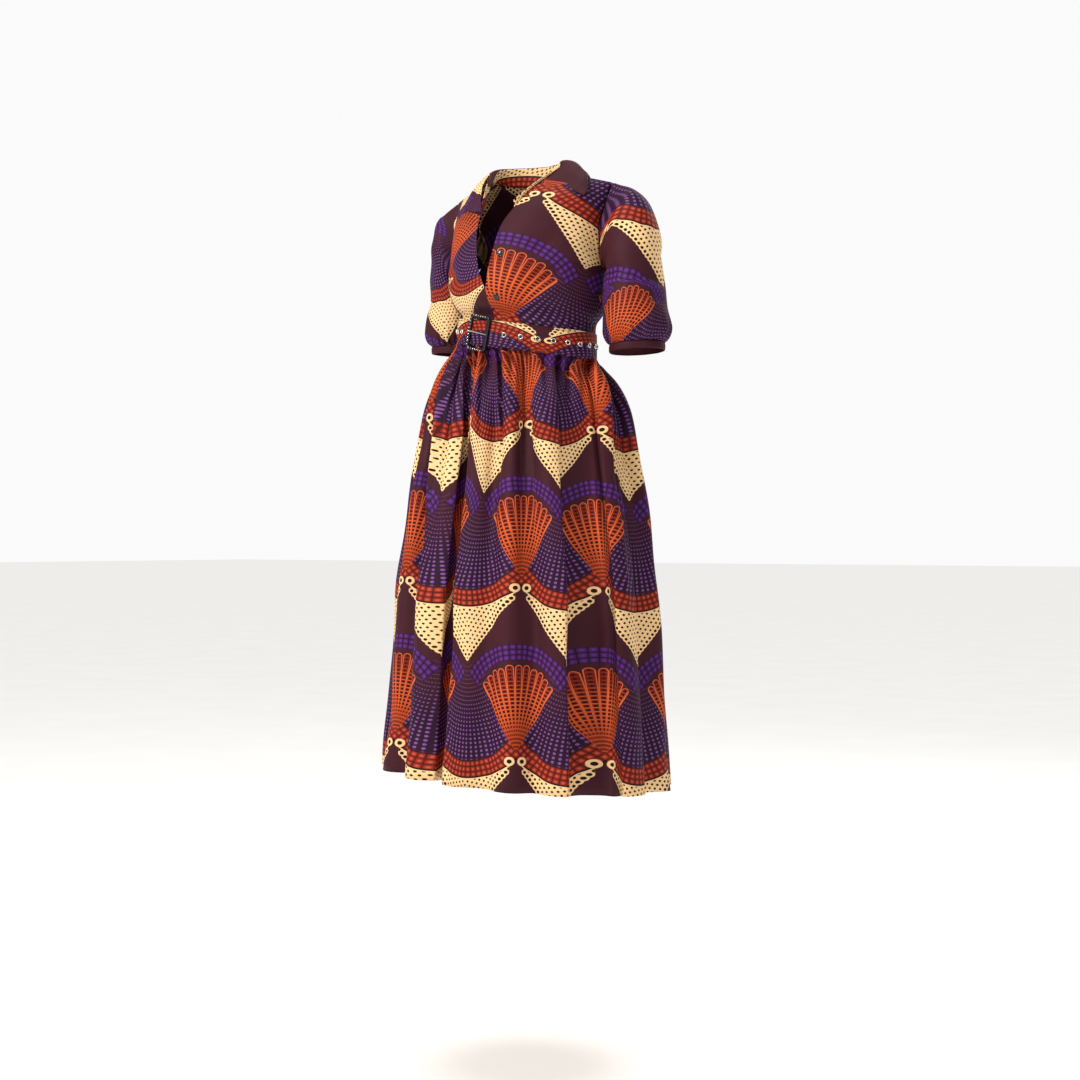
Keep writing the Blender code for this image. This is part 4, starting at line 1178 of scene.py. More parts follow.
# %% [markdown]
# ## The bodice
#
# Two fronts and a back, seamed at the sides and shoulders. The fronts fasten at the middle, with
# the left edge over the right, and blouse a little over the belt, where they are drawn in by short
# gathers. The flat places run level across a piece and upright from the waist, as the grain does,
# then are turned and moved so that the fans fall where they do on the real dress.

# %% The placing of the print on a piece
def placed(s, t, across=(1, 0, 0), down=(0, 1, 0)):
    """Flat places [.., 2]. across and down each hold a share of s, a share of t and a move."""
    x = across[0] * s + across[1] * t + across[2]
    y = down[0] * s + down[1] * t + down[2]
    return np.stack([x, y], axis=-1)


print("flat place 10 mm along a piece that isn't moved:", placed(0.01, 0.0))

# %% [markdown]
# Both fronts come from one function, mirrored for the right one, which stands further open. The
# print is placed on each by itself, because they are cut from different places in the cloth.

# %% The two fronts
BODICE_COLUMNS, BODICE_ROWS = 96, 120
FRONT_PRINT = {
    "left": ((0.66, 0.141, -0.010), (-0.22, 1.115, 0.335)),
    "right": ((1.38, 0.60, 0.240), (0.10, 1.20, 0.145)),
}
FRONT_CREASES = (
    (0.150, -0.125, 0.060, -0.085, 0.012, -0.0035),
    (0.155, -0.105, 0.075, -0.060, 0.010, 0.0025),
    (0.150, -0.090, 0.085, -0.125, 0.010, -0.0025),
    (0.050, -0.030, 0.075, -0.090, 0.008, -0.0020),
    (0.105, -0.020, 0.110, -0.070, 0.008, -0.0022),
    (0.130, -0.190, 0.080, -0.150, 0.014, -0.0022),
)


def make_front(name, right):
    """One front: its form, plus gathers above the waist, creases and a seam's hollow at the side,
    all fading to nothing at the front edge, the side and the top row."""
    form = partial(front, right=right)
    u, v = np.linspace(0, 1, BODICE_COLUMNS), np.linspace(0, len(FRONT["z_in"]) - 1, BODICE_ROWS)
    points = form(u, v)
    out = outward(form, u, v, right)
    inner = spline(FRONT["open_x" if right else "x_in"], v)
    s = lengths(points, 1) + inner[:, None]
    t = -lengths(points, 0, (1, 2))
    wide = lengths(points, 1)[:, -1:]
    lift = gathers(s, -t, 0.017, 0.0022, 0.040, 5 + right)
    lift = lift + creases(s, t, *FRONT_CREASES) + unevenness(s, t, 0.09, 0.0012, 11 + right)
    calm = (1 - bell(u * wide, 0.012)) * (1 - bell((1 - u) * wide, 0.010))
    calm = calm * (1 - bell(v[-1] - v[:, None], 0.35))
    lift = lift * calm + edge_dip(np.maximum(u, 0.5), wide)
    points = points + out * lift[..., None]
    side = -1 if right else 1
    flat = placed(side * s, t, *FRONT_PRINT[name])
    made = shell(f"cloth_front_{name}", points, flat, right)
    return dress(made, f"front_{name}", (0.19, 0.33))


make_front("left", False)
make_front("right", True)

# %% [markdown]
# The back is one piece from side to side. Its gathers lie a little wider apart than the fronts',
# and its creases run in from the armholes and the sides.

# %% The back
BACK_PRINT = ((1, 0, 0.094), (0, 1, 0.050))
BACK_CREASES = (
    (0.150, -0.110, 0.030, -0.085, 0.012, -0.0030),
    (-0.150, -0.105, -0.040, -0.080, 0.012, -0.0028),
    (0.120, -0.150, 0.020, -0.130, 0.014, 0.0022),
    (-0.125, -0.160, -0.030, -0.125, 0.012, -0.0022),
    (0.060, -0.010, 0.070, -0.075, 0.008, -0.0022),
    (-0.055, -0.012, -0.060, -0.080, 0.009, -0.0020),
)


def make_back():
    """The back: its form, plus gathers and creases that fade to nothing at the seams."""
    u, v = np.linspace(-1, 1, 2 * BODICE_COLUMNS - 21), np.linspace(0, len(BACK["z_in"]), BODICE_ROWS)
    points = back(u, v)
    out = outward(back, u, v, True)
    across = lengths(points, 1)
    wide = across[:, -1:]
    s = across - wide / 2
    t = -lengths(points, 0, (1, 2))
    lift = gathers(s, -t, 0.019, 0.0024, 0.045, 7)
    lift = lift + creases(s, t, *BACK_CREASES) + unevenness(s, t, 0.11, 0.0014, 13)
    share = (u + 1) / 2
    near = np.minimum(share, 1 - share) * wide
    calm = (1 - bell(near, 0.010)) * (1 - bell(v[-1] - v[:, None], 0.35))
    points = points + out * (lift * calm + edge_dip(share, wide))[..., None]
    made = shell("cloth_back", points, placed(s, t, *BACK_PRINT), True)
    return dress(made, "back", (0.36, 0.34))


make_back()

# %% [markdown]
# ## The sleeves and cuffs
#
# An elbow sleeve is cut wider than the arm and gathered into a narrow cuff, so it blouses. The
# gathers are deepest just above the cuff. A few soft creases cross the sleeve where the arm bends.

# %% Sleeves
SLEEVE_COLUMNS, SLEEVE_ROWS = 150, 100
SLEEVE_WIDE = 0.37
# The seam allowance inside the armhole, in rows: how far back past the seam, and how far inwards.
SLEEVE_TURNINGS = ((0.0120, 0.0050), (0.0060, 0.0030), (0.0020, 0.0012))
SLEEVE_TWIST = 0.040  # how far the grain swings round at the cuff
RIGHT_SLEEVE_PRINT = ((1.16, -0.19, 0.176), (0.19, 1.22, 0.175))
SLEEVE_CREASES = (
    (0.130, -0.120, 0.215, -0.100, 0.007, -0.0022),
    (0.120, -0.085, 0.200, -0.070, 0.008, -0.0020),
    (0.050, -0.115, 0.120, -0.135, 0.008, -0.0022),
    (0.250, -0.105, 0.320, -0.080, 0.009, -0.0024),
    (0.015, -0.070, 0.070, -0.045, 0.008, -0.0020),
    (0.180, -0.170, 0.240, -0.150, 0.010, -0.0018),
)


def left_sleeve_places(s, t):
    """The left sleeve's flat places. The cloth is narrower above its middle than at the gathers,
    so across it the print's share of s changes from 1.2 to 0.75 there, and along it from 1.2 to
    0.93."""
    low, high = 1.2 * s + 0.19 * t - 0.137, 0.75 * (s - 0.078)
    share = np.clip((-t - 0.096) / 0.014, 0, 1)
    across = low + (high - low) * share**2 * (3 - 2 * share)
    return np.stack([across, 0.150 + np.where(t > -0.097, 1.2, 0.93) * (t + 0.097)], axis=-1)


def make_sleeve(name, right):
    """One sleeve: its form, plus gathers above the cuff and creases that fade to nothing at the
    armhole's seam, with the seam allowance turned in as a few rows before the first."""
    form = partial(sleeve, right=right)
    tau = np.linspace(0, 2 * math.pi, SLEEVE_COLUMNS, endpoint=False)
    v = np.linspace(0, len(SLEEVE["tilt"]), SLEEVE_ROWS)
    points = form(tau, v)
    out = outward(form, tau, v, not right)
    run = lengths(points, 0)
    t = run - run[-1:]
    s = np.broadcast_to(tau / (2 * math.pi) * SLEEVE_WIDE, t.shape)
    lift = gathers(s, -t, SLEEVE_WIDE / 26, 0.0024, 0.034, 17 + right)
    lift = lift + creases(s, t, *SLEEVE_CREASES) + unevenness(s, t, 0.08, 0.0012, 19 + right)
    lift = lift * (1 - bell(run, 0.012)) - 0.0012 * bell(run, 0.003)
    points = points + out * lift[..., None]
    back_in = unit(points[0] - points[1])
    under = [points[0] + back_in * far - out[0] * deep for far, deep in SLEEVE_TURNINGS]
    points = np.concatenate([under, points])
    t = np.concatenate([[t[0] - far for far, deep in SLEEVE_TURNINGS], t])
    ring = np.concatenate([t, t[:, :1]], axis=1)
    round_arm = np.append(tau, 2 * math.pi) / (2 * math.pi) * SLEEVE_WIDE
    if not right:
        round_arm = round_arm + SLEEVE_TWIST * np.exp(ring / 0.06)
    round_arm = np.broadcast_to(round_arm, ring.shape)
    flat = left_sleeve_places(round_arm, ring)
    if right:
        flat = placed(-round_arm, ring, *RIGHT_SLEEVE_PRINT)
    made = shell(f"cloth_sleeve_{name}", points, flat, not right, wrap=True)
    return dress(made, f"sleeve_{name}", (0.38, 0.24))


make_sleeve("left", False)
make_sleeve("right", True)

# %% [markdown]
# A cuff is a narrow band of two layers, so its wall is thicker than the sleeve's, and its two
# edges are rolled in.

# %% Cuffs
CUFF_PRINT = ((0, 1, -0.008), (0.1, 0, 0.055))


def make_cuff(name, right):
    """One cuff: its form, with its two edges rolled in by the fourth power of the height."""
    form = partial(cuff, right=right)
    tau = np.linspace(0, 2 * math.pi, SLEEVE_COLUMNS, endpoint=False)
    height = np.linspace(0, 1, 9)
    points = form(tau, height)
    out = outward(form, tau, height, not right)
    roll = 0.0010 - 0.0012 * np.abs(2 * height - 1) ** 4
    points = points + out * roll[:, None, None]
    run = lengths(np.concatenate([points, points[:, :1]], axis=1), 1)
    down = np.broadcast_to(height[:, None] * CUFF_HEIGHT, run.shape)
    flat = placed(run, down, *CUFF_PRINT)
    made = shell(f"cloth_cuff_{name}", points, flat, not right, wrap=True, wall=0.0016)
    return dress(made, f"cuff_{name}", (0.30, 0.016))


make_cuff("left", False)
make_cuff("right", True)

# %% [markdown]
# ## The skirt
#
# The skirt's two halves flare to the hem and are gathered into the waist seam. The solids hold
# their fifteen deep folds. The small gathers under the belt are added here, in two sizes: narrow
# ones at the seam, and fewer, wider ones below, as the cloth relaxes.
# The flat place of a point is the arc run along the hem and the length run down from the waist,
# so the print goes in and out of the folds as it does on real cloth.

# %% The print's places on the skirt
SKIRT_COLUMNS, SKIRT_ROWS = 340, 125
SKIRT_PRINT = (1.022, -0.1666)  # the first row of cusps lies 163 mm below the waist seam


def skirt_places(phase, v):
    """The flat places of a skirt grid: the hem's arc from phase 0, and the length down the form."""
    fine = np.linspace(-5, 12, 6801)
    hem = skirt(fine, np.array([len(SKIRT["z"]) - 1.0]))[0]
    run = np.concatenate([[0], np.cumsum(np.linalg.norm(np.diff(hem, axis=0), axis=1))])
    s = np.interp(phase, fine, run - np.interp(0, fine, run))
    rows = np.linspace(0, len(SKIRT["z"]) - 1, 400)
    form = np.stack([spline(SKIRT["z"], rows), spline(SKIRT["depth"], rows)], axis=-1)
    down = np.concatenate([[0], np.cumsum(np.linalg.norm(np.diff(form, axis=0), axis=1))])
    return np.meshgrid(s, np.interp(v, rows, down))


print("first cusps below the waist:", round(-SKIRT_PRINT[1] / SKIRT_PRINT[0], 3), "m")

# %% [markdown]
# A pleat is cloth laid over itself, with a sharp edge. Where one tucks cloth away, the print jumps
# too, and a fan or a wedge loses its middle.

# %% Pleats and tucks
# Deep pleats seen as sharp lines: the fold each lies at, its depth, how far the cloth takes to come
# back out, and how far down it runs. The cloth overlaps from the right.
PLEATS = table(
    "fold depth back long",
    (-0.60, 0.017, 0.026, 0.34),
    (-0.04, 0.026, 0.040, 2.00),
    (0.60, 0.017, 0.018, 0.18),
    (1.05, 0.019, 0.024, 0.25),
    (1.80, 0.018, 0.022, 0.22),
    (2.56, 0.024, 0.050, 2.00),
    (3.30, 0.020, 0.034, 2.00),
    (3.62, 0.014, 0.020, 0.28),
    (4.70, 0.010, 0.018, 0.60),
    (5.50, 0.008, 0.016, 0.20),
    (6.40, 0.012, 0.020, 2.00),
    (7.35, 0.009, 0.016, 0.25),
    (8.20, 0.011, 0.020, 0.80),
    (9.30, 0.009, 0.018, 0.22),
    (10.10, 0.012, 0.020, 2.00),
    (10.80, 0.008, 0.016, 0.20),
)
# The print's place across the cloth near the front, at three distances down from the waist. It
# jumps where a pleat tucks cloth away, so part of a fan or a wedge is hidden there.
TUCKS = table(
    "fold top middle low",
    (-1.60, -0.200, -0.212, -0.212),
    (-1.20, -0.165, -0.176, -0.179),
    (-0.80, -0.128, -0.141, -0.148),
    (-0.50, -0.105, -0.119, -0.130),
    (-0.20, -0.078, -0.100, -0.112),
    (-0.08, -0.068, -0.092, -0.104),
    (0.06, -0.045, 0.057, 0.016),
    (0.20, -0.032, 0.066, 0.024),
    (0.40, 0.000, 0.075, 0.040),
    (0.70, 0.066, 0.104, 0.094),
    (1.00, 0.113, 0.136, 0.130),
    (1.70, 0.174, 0.184, 0.190),
    (2.52, 0.272, 0.268, 0.273),
    (2.60, 0.282, 0.328, 0.334),
    (3.20, 0.357, 0.372, 0.376),
    (3.28, 0.368, 0.380, 0.386),
    (3.36, 0.380, 0.420, 0.426),
    (3.80, 0.425, 0.462, 0.478),
    (4.20, 0.458, 0.492, 0.512),
    (4.60, 0.490, 0.525, 0.545),
)
TUCK_LEVELS = (0.180, 0.476, 0.766)  # how far top, middle and low lie below the waist
print("pleats:", len(PLEATS["fold"]))


def tucked(phase, s, t):
    """The print's places across the cloth: the arc along the hem, moved by the tucks."""
    arc = np.interp(TUCKS["fold"], phase, s[0])
    names = ("top", "middle", "low")
    top, middle, low = (np.interp(phase, TUCKS["fold"], TUCKS[name] - arc) for name in names)
    down = np.interp(t[:, :1], TUCK_LEVELS, (0, 1, 2))
    upper = top + (middle - top) * np.minimum(down, 1)
    return s + upper + (low - middle) * np.maximum(down - 1, 0)


def pleats(phase, s, t):
    """Sharp folds: a step down at each fold's line, and a slow rise back from it."""
    lift = np.zeros(np.broadcast(s, t).shape)
    for fold, depth, back, long in zip(*PLEATS.values()):
        line = np.interp(fold, phase, s[0])
        away = s - line
        strength = (1 - bell(t, 0.035)) * np.exp(-((t / long) ** 4))
        fallen = np.exp(-np.maximum(away, 0) / back) / (1 + np.exp(-away / 0.0012))
        swell = 0.35 * bell(away, 0.022) * (away < 0) + 0.35 * (away >= 0) * fallen
        inside = (fold > phase[0]) & (fold < phase[-1])
        lift = lift + inside * depth * strength * (swell - fallen)
    return lift

# %% [markdown]
# Each half is a grid from side seam to side seam, with its rows closer together near the waist,
# where the gathers are small.

# %% The skirt's two halves
def make_skirt_half(name, start, end, seed):
    """One half of the skirt, between two phases: its form, plus both sizes of gathers, pleats and
    a hollow under the belt, all fading to nothing at the waist and at the side seams."""
    phase = np.linspace(start, end, SKIRT_COLUMNS)
    last = len(SKIRT["z"]) - 1
    v = last * np.linspace(0, 1, SKIRT_ROWS) ** 1.15
    points = skirt(phase, v)
    out = outward(skirt, phase, v, True)
    s, t = skirt_places(phase, v)
    small = gathers(s, t, 0.040, 0.0100, 0.110, seed, start=0.010, narrow=2.6)
    wide = gathers(s, t, 0.083, 0.0150, 0.330, seed + 1, start=0.040, narrow=2.6)
    lift = small + wide + unevenness(s, t, 0.22, 0.0022, seed + 2) + pleats(phase, s, t)
    lift = (lift - 0.004 * bell(t, 0.12)) * (1 - np.exp(-t / 0.020))
    share = (phase - start) / (end - start)
    span = s[0, -1] - s[0, 0]
    near = np.minimum(share, 1 - share) * span
    lift = lift * (1 - bell(near, 0.012)) + edge_dip(share, span)
    points = points + out * lift[..., None]
    flat = placed(tucked(phase, s, t), t, (1, 0, 0), (0, *SKIRT_PRINT))
    made = shell(f"cloth_{name}", points, flat, True)
    return dress(made, name, (round(float(span), 2), 0.86))


fold_count = len(FOLDS["hem"])
left_side, right_side = phase_at(SIDE_ANGLES[0]), phase_at(SIDE_ANGLES[1])
make_skirt_half("skirt_front", right_side - fold_count, left_side, 31)
make_skirt_half("skirt_back", left_side, right_side, 41)

# %% [markdown]
# ## The collar
#
# A shirt collar in two parts: a stand along the neck edge, and a fall turned down over it. Both
# are two layers of cotton with an interlining, so they are smooth and hold a crisp edge.

# %% The collar's stand
STAND_TURNED_IN = 0.006  # the stand's seam allowance, down inside the neck edge
STAND_PRINT = ((1, 0, 0.02), (0, 1, 0.03))


def make_collar_stand():
    """The stand: its form, with one more row straight down as its seam allowance."""
    share, height = np.linspace(0, 1, 200), np.linspace(0, 1, 12)
    points = collar_stand(share, height)
    turned_in = points[:1] - np.array([0, 0, STAND_TURNED_IN])
    points = np.concatenate([turned_in, points])
    flat = placed(lengths(points, 1), lengths(points, 0), *STAND_PRINT)
    made = shell("cloth_collar_stand", points, flat, False, wall=0.0012)
    return dress(made, "collar_stand", (0.46, 0.045))


make_collar_stand()

# %% [markdown]
# The fall turns over the stand. Its print is placed at four listed places along it, because its
# strip crosses more than one motif.

# %% The collar's fall
# The print's place on the fall, at distances from the centre back: where its fold lies in the
# repeat, and how fast the place moves on the way down to the edge.
COLLAR_PRINT = table(
    "middle x x_down y y_down",
    (-0.30, 0.065, 0.7, 0.235, 0.0),
    (0.00, 0.125, 0.7, -0.080, 0.0),
    (0.12, 0.178, 0.1, 0.058, 0.3),
    (0.32, 0.190, 0.1, 0.060, 0.3),
)
# The fall's grid, in halves of the solid's fall: its ends, and the column nearest the centre back.
FALL_FROM, FALL_TO, FALL_COLUMNS, CENTRE_COLUMN = -1.5, 1.25, 242, 132


def make_collar_fall():
    """The fall: its form, a little uneven, with its outer edge rounded off."""
    half, w = np.linspace(FALL_FROM, FALL_TO, FALL_COLUMNS), np.linspace(0, 1, 36)
    points = collar_fall(half, w)
    out = outward(collar_fall, half, w, False)
    across, down = lengths(points, 1), lengths(points, 0)
    round_off = -0.0010 * bell(1 - w[:, None], 0.05)
    lift = round_off + unevenness(across, down, 0.07, 0.0008, 23)
    points = points + out * lift[..., None]
    middle = across - across[:, CENTRE_COLUMN : CENTRE_COLUMN + 1]
    names = ("x", "x_down", "y", "y_down")
    shift = [np.interp(middle, COLLAR_PRINT["middle"], COLLAR_PRINT[name]) for name in names]
    flat = np.stack([shift[0] + shift[1] * down, shift[2] + shift[3] * down], axis=-1)
    made = shell("cloth_collar_fall", points, flat, False, wall=0.0017)
    return dress(made, "collar_fall", (0.54, 0.085))


make_collar_fall()

# %% [markdown]
# ## The belt
#
# A stiffened strap covered in the dress's own cloth, with metal eyelets all along it and a covered
# end that comes back through the buckle. Its edges are turned and rounded.

# %% Belt strap
BELT_PRINT = ((0.85, 0, -0.173), (0, 1.5, 0.0170))


def make_belt():
    """The strap: its form, with both edges rounded off by the eighth power of the height."""
    along = np.linspace(0, 360 + BELT_TAIL, 560)
    height = np.linspace(-1, 1, 15)
    points = belt(along, height)
    out = outward(belt, along, height, True)
    round_off = -0.0011 * np.abs(height) ** 8
    points = points + out * round_off[:, None, None]
    s = lengths(points, 1)
    t = np.broadcast_to(height[:, None] * BELT_HEIGHT / 2, s.shape)
    made = shell("cloth_belt", points, placed(s, t, *BELT_PRINT), True, wall=0.0022)
    return dress(made, "belt", (0.87, 0.048))


make_belt()

# %% [markdown]
# ## Metal and buttons
#
# The eyelets and the prong are nickel-plated brass: bright, a little grey, with fine scratches.
# The buckle's frame and the buttons are black enamel, glossy and slightly blue, and the frame is
# set with small bright studs. The holes of the eyelets and the buttons are filled with
# near-black discs of painted shade.

# %% Nickel, enamel, painted shade for holes, and thread
def hard_material(name, dark, light, rough, metallic, scratch):
    """A smooth hard finish: two near colours mixed by a cloud, and a roughness that a finer cloud
    varies, as touch and wear do."""
    made, tree = new_material(name)
    place = add(tree, "TexCoord", out=3)
    cloud = add(tree, "TexNoise", place, named={"Scale": 220.0, "Detail": 3.0})
    tint = add(tree, "Mix", cloud, colour(dark), colour(light), data_type="RGBA")
    fine = add(tree, "TexNoise", place, named={"Scale": 900.0, "Detail": 4.0})
    roughness = add(tree, "MapRange", fine, 0.3, 0.7, rough[0], rough[1])
    bump = add(tree, "Bump", named={"Strength": scratch, "Distance": 0.0001, "Height": fine})
    shader = add(
        tree,
        "BsdfPrincipled",
        named={"Base Color": tint, "Roughness": roughness, "Normal": bump, "Metallic": metallic},
    )
    add(tree, "OutputMaterial", shader)
    return made


nickel = hard_material("nickel_plated_brass", "#b9b6b2", "#e2e0dc", (0.16, 0.30), 1.0, 0.15)
enamel = hard_material("black_enamel_moulded", "#0c0d18", "#1b1c2c", (0.14, 0.26), 0.0, 0.08)
# painted shade: a near-black matt finish laid in holes, where only shadow falls
shadow = hard_material("painted_shade_in_holes", "#070506", "#100b0d", (0.7, 0.8), 0.0, 0.0)
thread = hard_material("polyester_sewing_thread", "#2b1220", "#47202f", (0.55, 0.70), 0.0, 0.3)


print("hard finishes:", nickel.name, enamel.name, shadow.name, thread.name)

# %% [markdown]
# Eyelets, buttons and studs are round, so each is a profile turned about its own axis, then put
# where it belongs. That gives clean rings of faces, and its poles are merged at the end.

# %% Turned and joined shapes
def tube_faces(rings, sides, closed=False):
    """Four-sided faces between rings of points, each ring with the same number of sides. closed
    joins the last ring to the first."""
    index = np.arange(rings * sides).reshape(rings, sides)
    index = np.concatenate([index, index[:1]]) if closed else index
    after = np.roll(index, -1, axis=1)
    return np.stack([index[:-1], after[:-1], after[1:], index[1:]], axis=-1).reshape(-1, 4)


def moved(points, place):
    """Points as rows, turned and moved by a 4 x 4 place."""
    return points.reshape(-1, 3) @ place[:3, :3].T + place[:3, 3]


def lathe(profile, sides, place):
    """Vertices and faces of a profile of (radius, height) turned about +Z and moved by place."""
    turn = np.arange(sides) * 2 * np.pi / sides
    profile = np.array(profile, float)
    ring = np.stack([np.cos(turn), np.sin(turn), np.ones(sides)], axis=-1)
    points = profile[:, None, [0, 0, 1]] * ring
    return moved(points, place), tube_faces(len(profile), sides)


def close_poles(made):
    """Merges the points of a pole and drops faces that this leaves empty."""
    work = bmesh.new()
    work.from_mesh(made.data)
    bmesh.ops.remove_doubles(work, verts=work.verts, dist=1e-6)
    bmesh.ops.recalc_face_normals(work, faces=work.faces)
    work.to_mesh(made.data)
    work.free()
    made.data.shade_smooth()


def stand(made, node):
    """Hides the CAD solid that a hard piece stands for, and hangs the piece on the root."""
    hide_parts(node)
    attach(made, "root")


def joined(parts):
    """One set of vertices and faces from several."""
    count, vertices, faces = 0, [], []
    for points, quads in parts:
        vertices.append(points)
        faces.append(quads + count)
        count += len(points)
    return np.concatenate(vertices), np.concatenate(faces)


print("faces of a tube of 3 rings of 8:", len(tube_faces(3, 8)))

# %% [markdown]
# An eyelet is a ring rolled over the cloth on both sides. Its hole is not cut through: its
# middle is a disc of painted shade, standing for the dark hole with the cloth behind.

# %% Eyelets
EYELET_FIRST, EYELET_PITCH, EYELETS = 10.4, 13.1, 25
EYELET_PROFILE = (
    (0.00001, 0.0002),
    (0.0026, 0.0002),
    (0.0027, 0.0010),
    (0.0030, 0.0016),
    (0.0036, 0.0019),
    (0.0043, 0.0016),
    (0.0048, 0.0009),
    (0.0050, 0.0001),
    (0.0048, -0.0004),
    (0.00001, -0.0004),
)
for number in range(EYELETS):
    angle = EYELET_FIRST + EYELET_PITCH * number
    along = (BELT_START - angle) % 360
    out = float(belt_out(np.array(along + 360 if along < BELT_TAIL else along)))
    point, normal = on_belt(angle, out + GAP)
    place = np.array(Matrix.Translation(Vector(point)) @ turned_to(normal))
    name = f"eyelet_{number + 1:02d}"
    made = put(f"rolled_{name}", *lathe(EYELET_PROFILE, 32, place), nickel)
    close_poles(made)
    # painted shade: the faces in the eyelet's middle get the near-black finish of its shadowed hole
    made.data.materials.append(shadow)
    centres = np.array([list(face.center) for face in made.data.polygons])
    middle = np.linalg.norm(centres - place[:3, 3], axis=1) < 0.0024
    made.data.polygons.foreach_set("material_index", middle.astype(np.int32))
    stand(made, name)
print("eyelets:", EYELETS)

# %% [markdown]
# The buckle is a bar bent to a rectangle with round corners, leaning a little in the photograph.
# Its frame, its studs and its prong are all made in the frame's own plane, then put on the belt.

# %% Buckle
BUCKLE_HALF = (0.0225, 0.0300)
BUCKLE_CORNER = 0.006
BUCKLE_SEAT = 0.0007
BUCKLE_LEAN = math.radians(-14)
BAR = (0.0030, 0.0024)  # half the frame's width across its face, and half its thickness


def make_buckle():
    """The frame: a bar with a rounded square section carried along a rectangle with round corners.
    Its points are the corner's centre, plus the corner's circle, plus the bar's section."""
    point, normal = on_belt(BUCKLE_ANGLE, float(belt_out(np.array(360.0))))
    place = Matrix.Translation(Vector(point)) @ turned_to(normal)
    place = np.array(place @ Matrix.Rotation(BUCKLE_LEAN, 4, "Z"))
    lift = BAR[1] - BUCKLE_SEAT
    steps = np.linspace(0, np.pi / 2, 9)
    turn = np.concatenate([quarter * np.pi / 2 + steps for quarter in range(4)])
    quarters = np.repeat(np.arange(4), len(steps))
    inner = np.array(BUCKLE_HALF) - BUCKLE_CORNER
    signs = np.array([(1, 1), (-1, 1), (-1, -1), (1, -1)])[quarters]
    corner = np.stack([np.cos(turn), np.sin(turn)], axis=-1)
    middle = signs * inner + BUCKLE_CORNER * corner
    around_bar = np.arange(16) * 2 * np.pi / 16
    reach = np.sign(np.cos(around_bar)) * np.abs(np.cos(around_bar)) ** 0.6 * BAR[0]
    rise = np.sign(np.sin(around_bar)) * np.abs(np.sin(around_bar)) ** 0.7 * BAR[1]
    flat = middle[:, None] + corner[:, None] * reach[:, None]
    heights = np.broadcast_to(lift + rise, flat.shape[:2])
    points = np.concatenate([flat, heights[..., None]], axis=-1)
    quads = tube_faces(len(points), len(around_bar), closed=True)
    frame_piece = put("enamel_buckle_frame", moved(points, place), quads, enamel)
    close_poles(frame_piece)
    stand(frame_piece, "buckle_frame")
    make_studs(place, lift)
    make_prong(place, lift)


def make_studs(place, lift):
    """Small bright studs along the frame's left bar and its top and bottom."""
    half_x, half_y = BUCKLE_HALF
    left = [(-half_x, y) for y in np.linspace(-half_y + 0.006, half_y - 0.006, 9)]
    across = np.linspace(-half_x + 0.006, half_x - 0.008, 6)
    ends = [(x, sign * half_y) for x in across for sign in (-1, 1)]
    angles = np.linspace(0, math.pi / 2 - 1e-3, 4)
    dome = [(0.0013 * math.cos(angle), 0.0011 * math.sin(angle)) for angle in angles]
    parts = []
    for x, y in left + ends:
        seat = place @ np.array(Matrix.Translation((x, y, lift + BAR[1] - 0.0003)))
        parts.append(lathe(dome, 10, seat))
    studs = put("buckle_studs", *joined(parts), nickel)
    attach(studs, "root")
    print("studs:", len(parts))


def make_prong(place, lift):
    """A round tapered prong from the frame's left bar to its right one, a little sunk between."""
    share = np.linspace(0, 1, 24)
    reach = BUCKLE_HALF[0]
    x = -reach - 0.001 + (2 * reach + 0.003) * share
    over_bar = lift + 0.0024 + 0.0013 + GAP
    z = over_bar - 0.0020 * np.sin(np.pi * share) ** 0.6
    radius = 0.0014 - 0.0005 * share**2
    turn = np.arange(12) * 2 * np.pi / 12
    rise = radius[:, None] * np.sin(turn)
    side = radius[:, None] * np.cos(turn)
    points = np.stack([np.broadcast_to(x[:, None], side.shape), side, z[:, None] + rise], axis=-1)
    caps = points[[0, -1]].mean(axis=1, keepdims=True).repeat(len(turn), axis=1)
    points = np.concatenate([caps[:1], points, caps[1:]])
    quads = tube_faces(len(points), len(turn))
    prong = put("nickel_buckle_prong", moved(points, place), quads, nickel)
    close_poles(prong)
    stand(prong, "buckle_prong")


make_buckle()

# %% [markdown]
# The buttons are moulded discs with a raised rim, sewn on through four holes. Two close the front,
# and one closes each cuff.

# %% Buttons
BUTTON_PROFILE = (
    (0.00001, 0.0),
    (0.0050, 0.0),
    (0.0058, 0.0004),
    (0.0060, 0.0011),
    (0.0058, 0.0019),
    (0.0053, 0.0024),
    (0.0047, 0.0024),
    (0.0040, 0.0018),
    (0.0030, 0.0015),
    (0.00001, 0.0015),
)
FRONT_BUTTONS = (2.35, 5.65)  # their places among FRONT's rows
BUTTON_INSET = 0.085
CUFF_BUTTONS = (("left", False, 20), ("right", True, 13))  # the last is the place out of 30 round


def normal_of(surface, u, v):
    """The outward direction of a panel at one place, by small steps along it."""
    step_size = 0.01
    across = surface(np.array([u - step_size, u + step_size]), np.array([v]))[0]
    along = surface(np.array([u]), np.array([v - step_size, v + step_size]))[:, 0]
    return Vector(np.cross(across[1] - across[0], along[1] - along[0])).normalized()


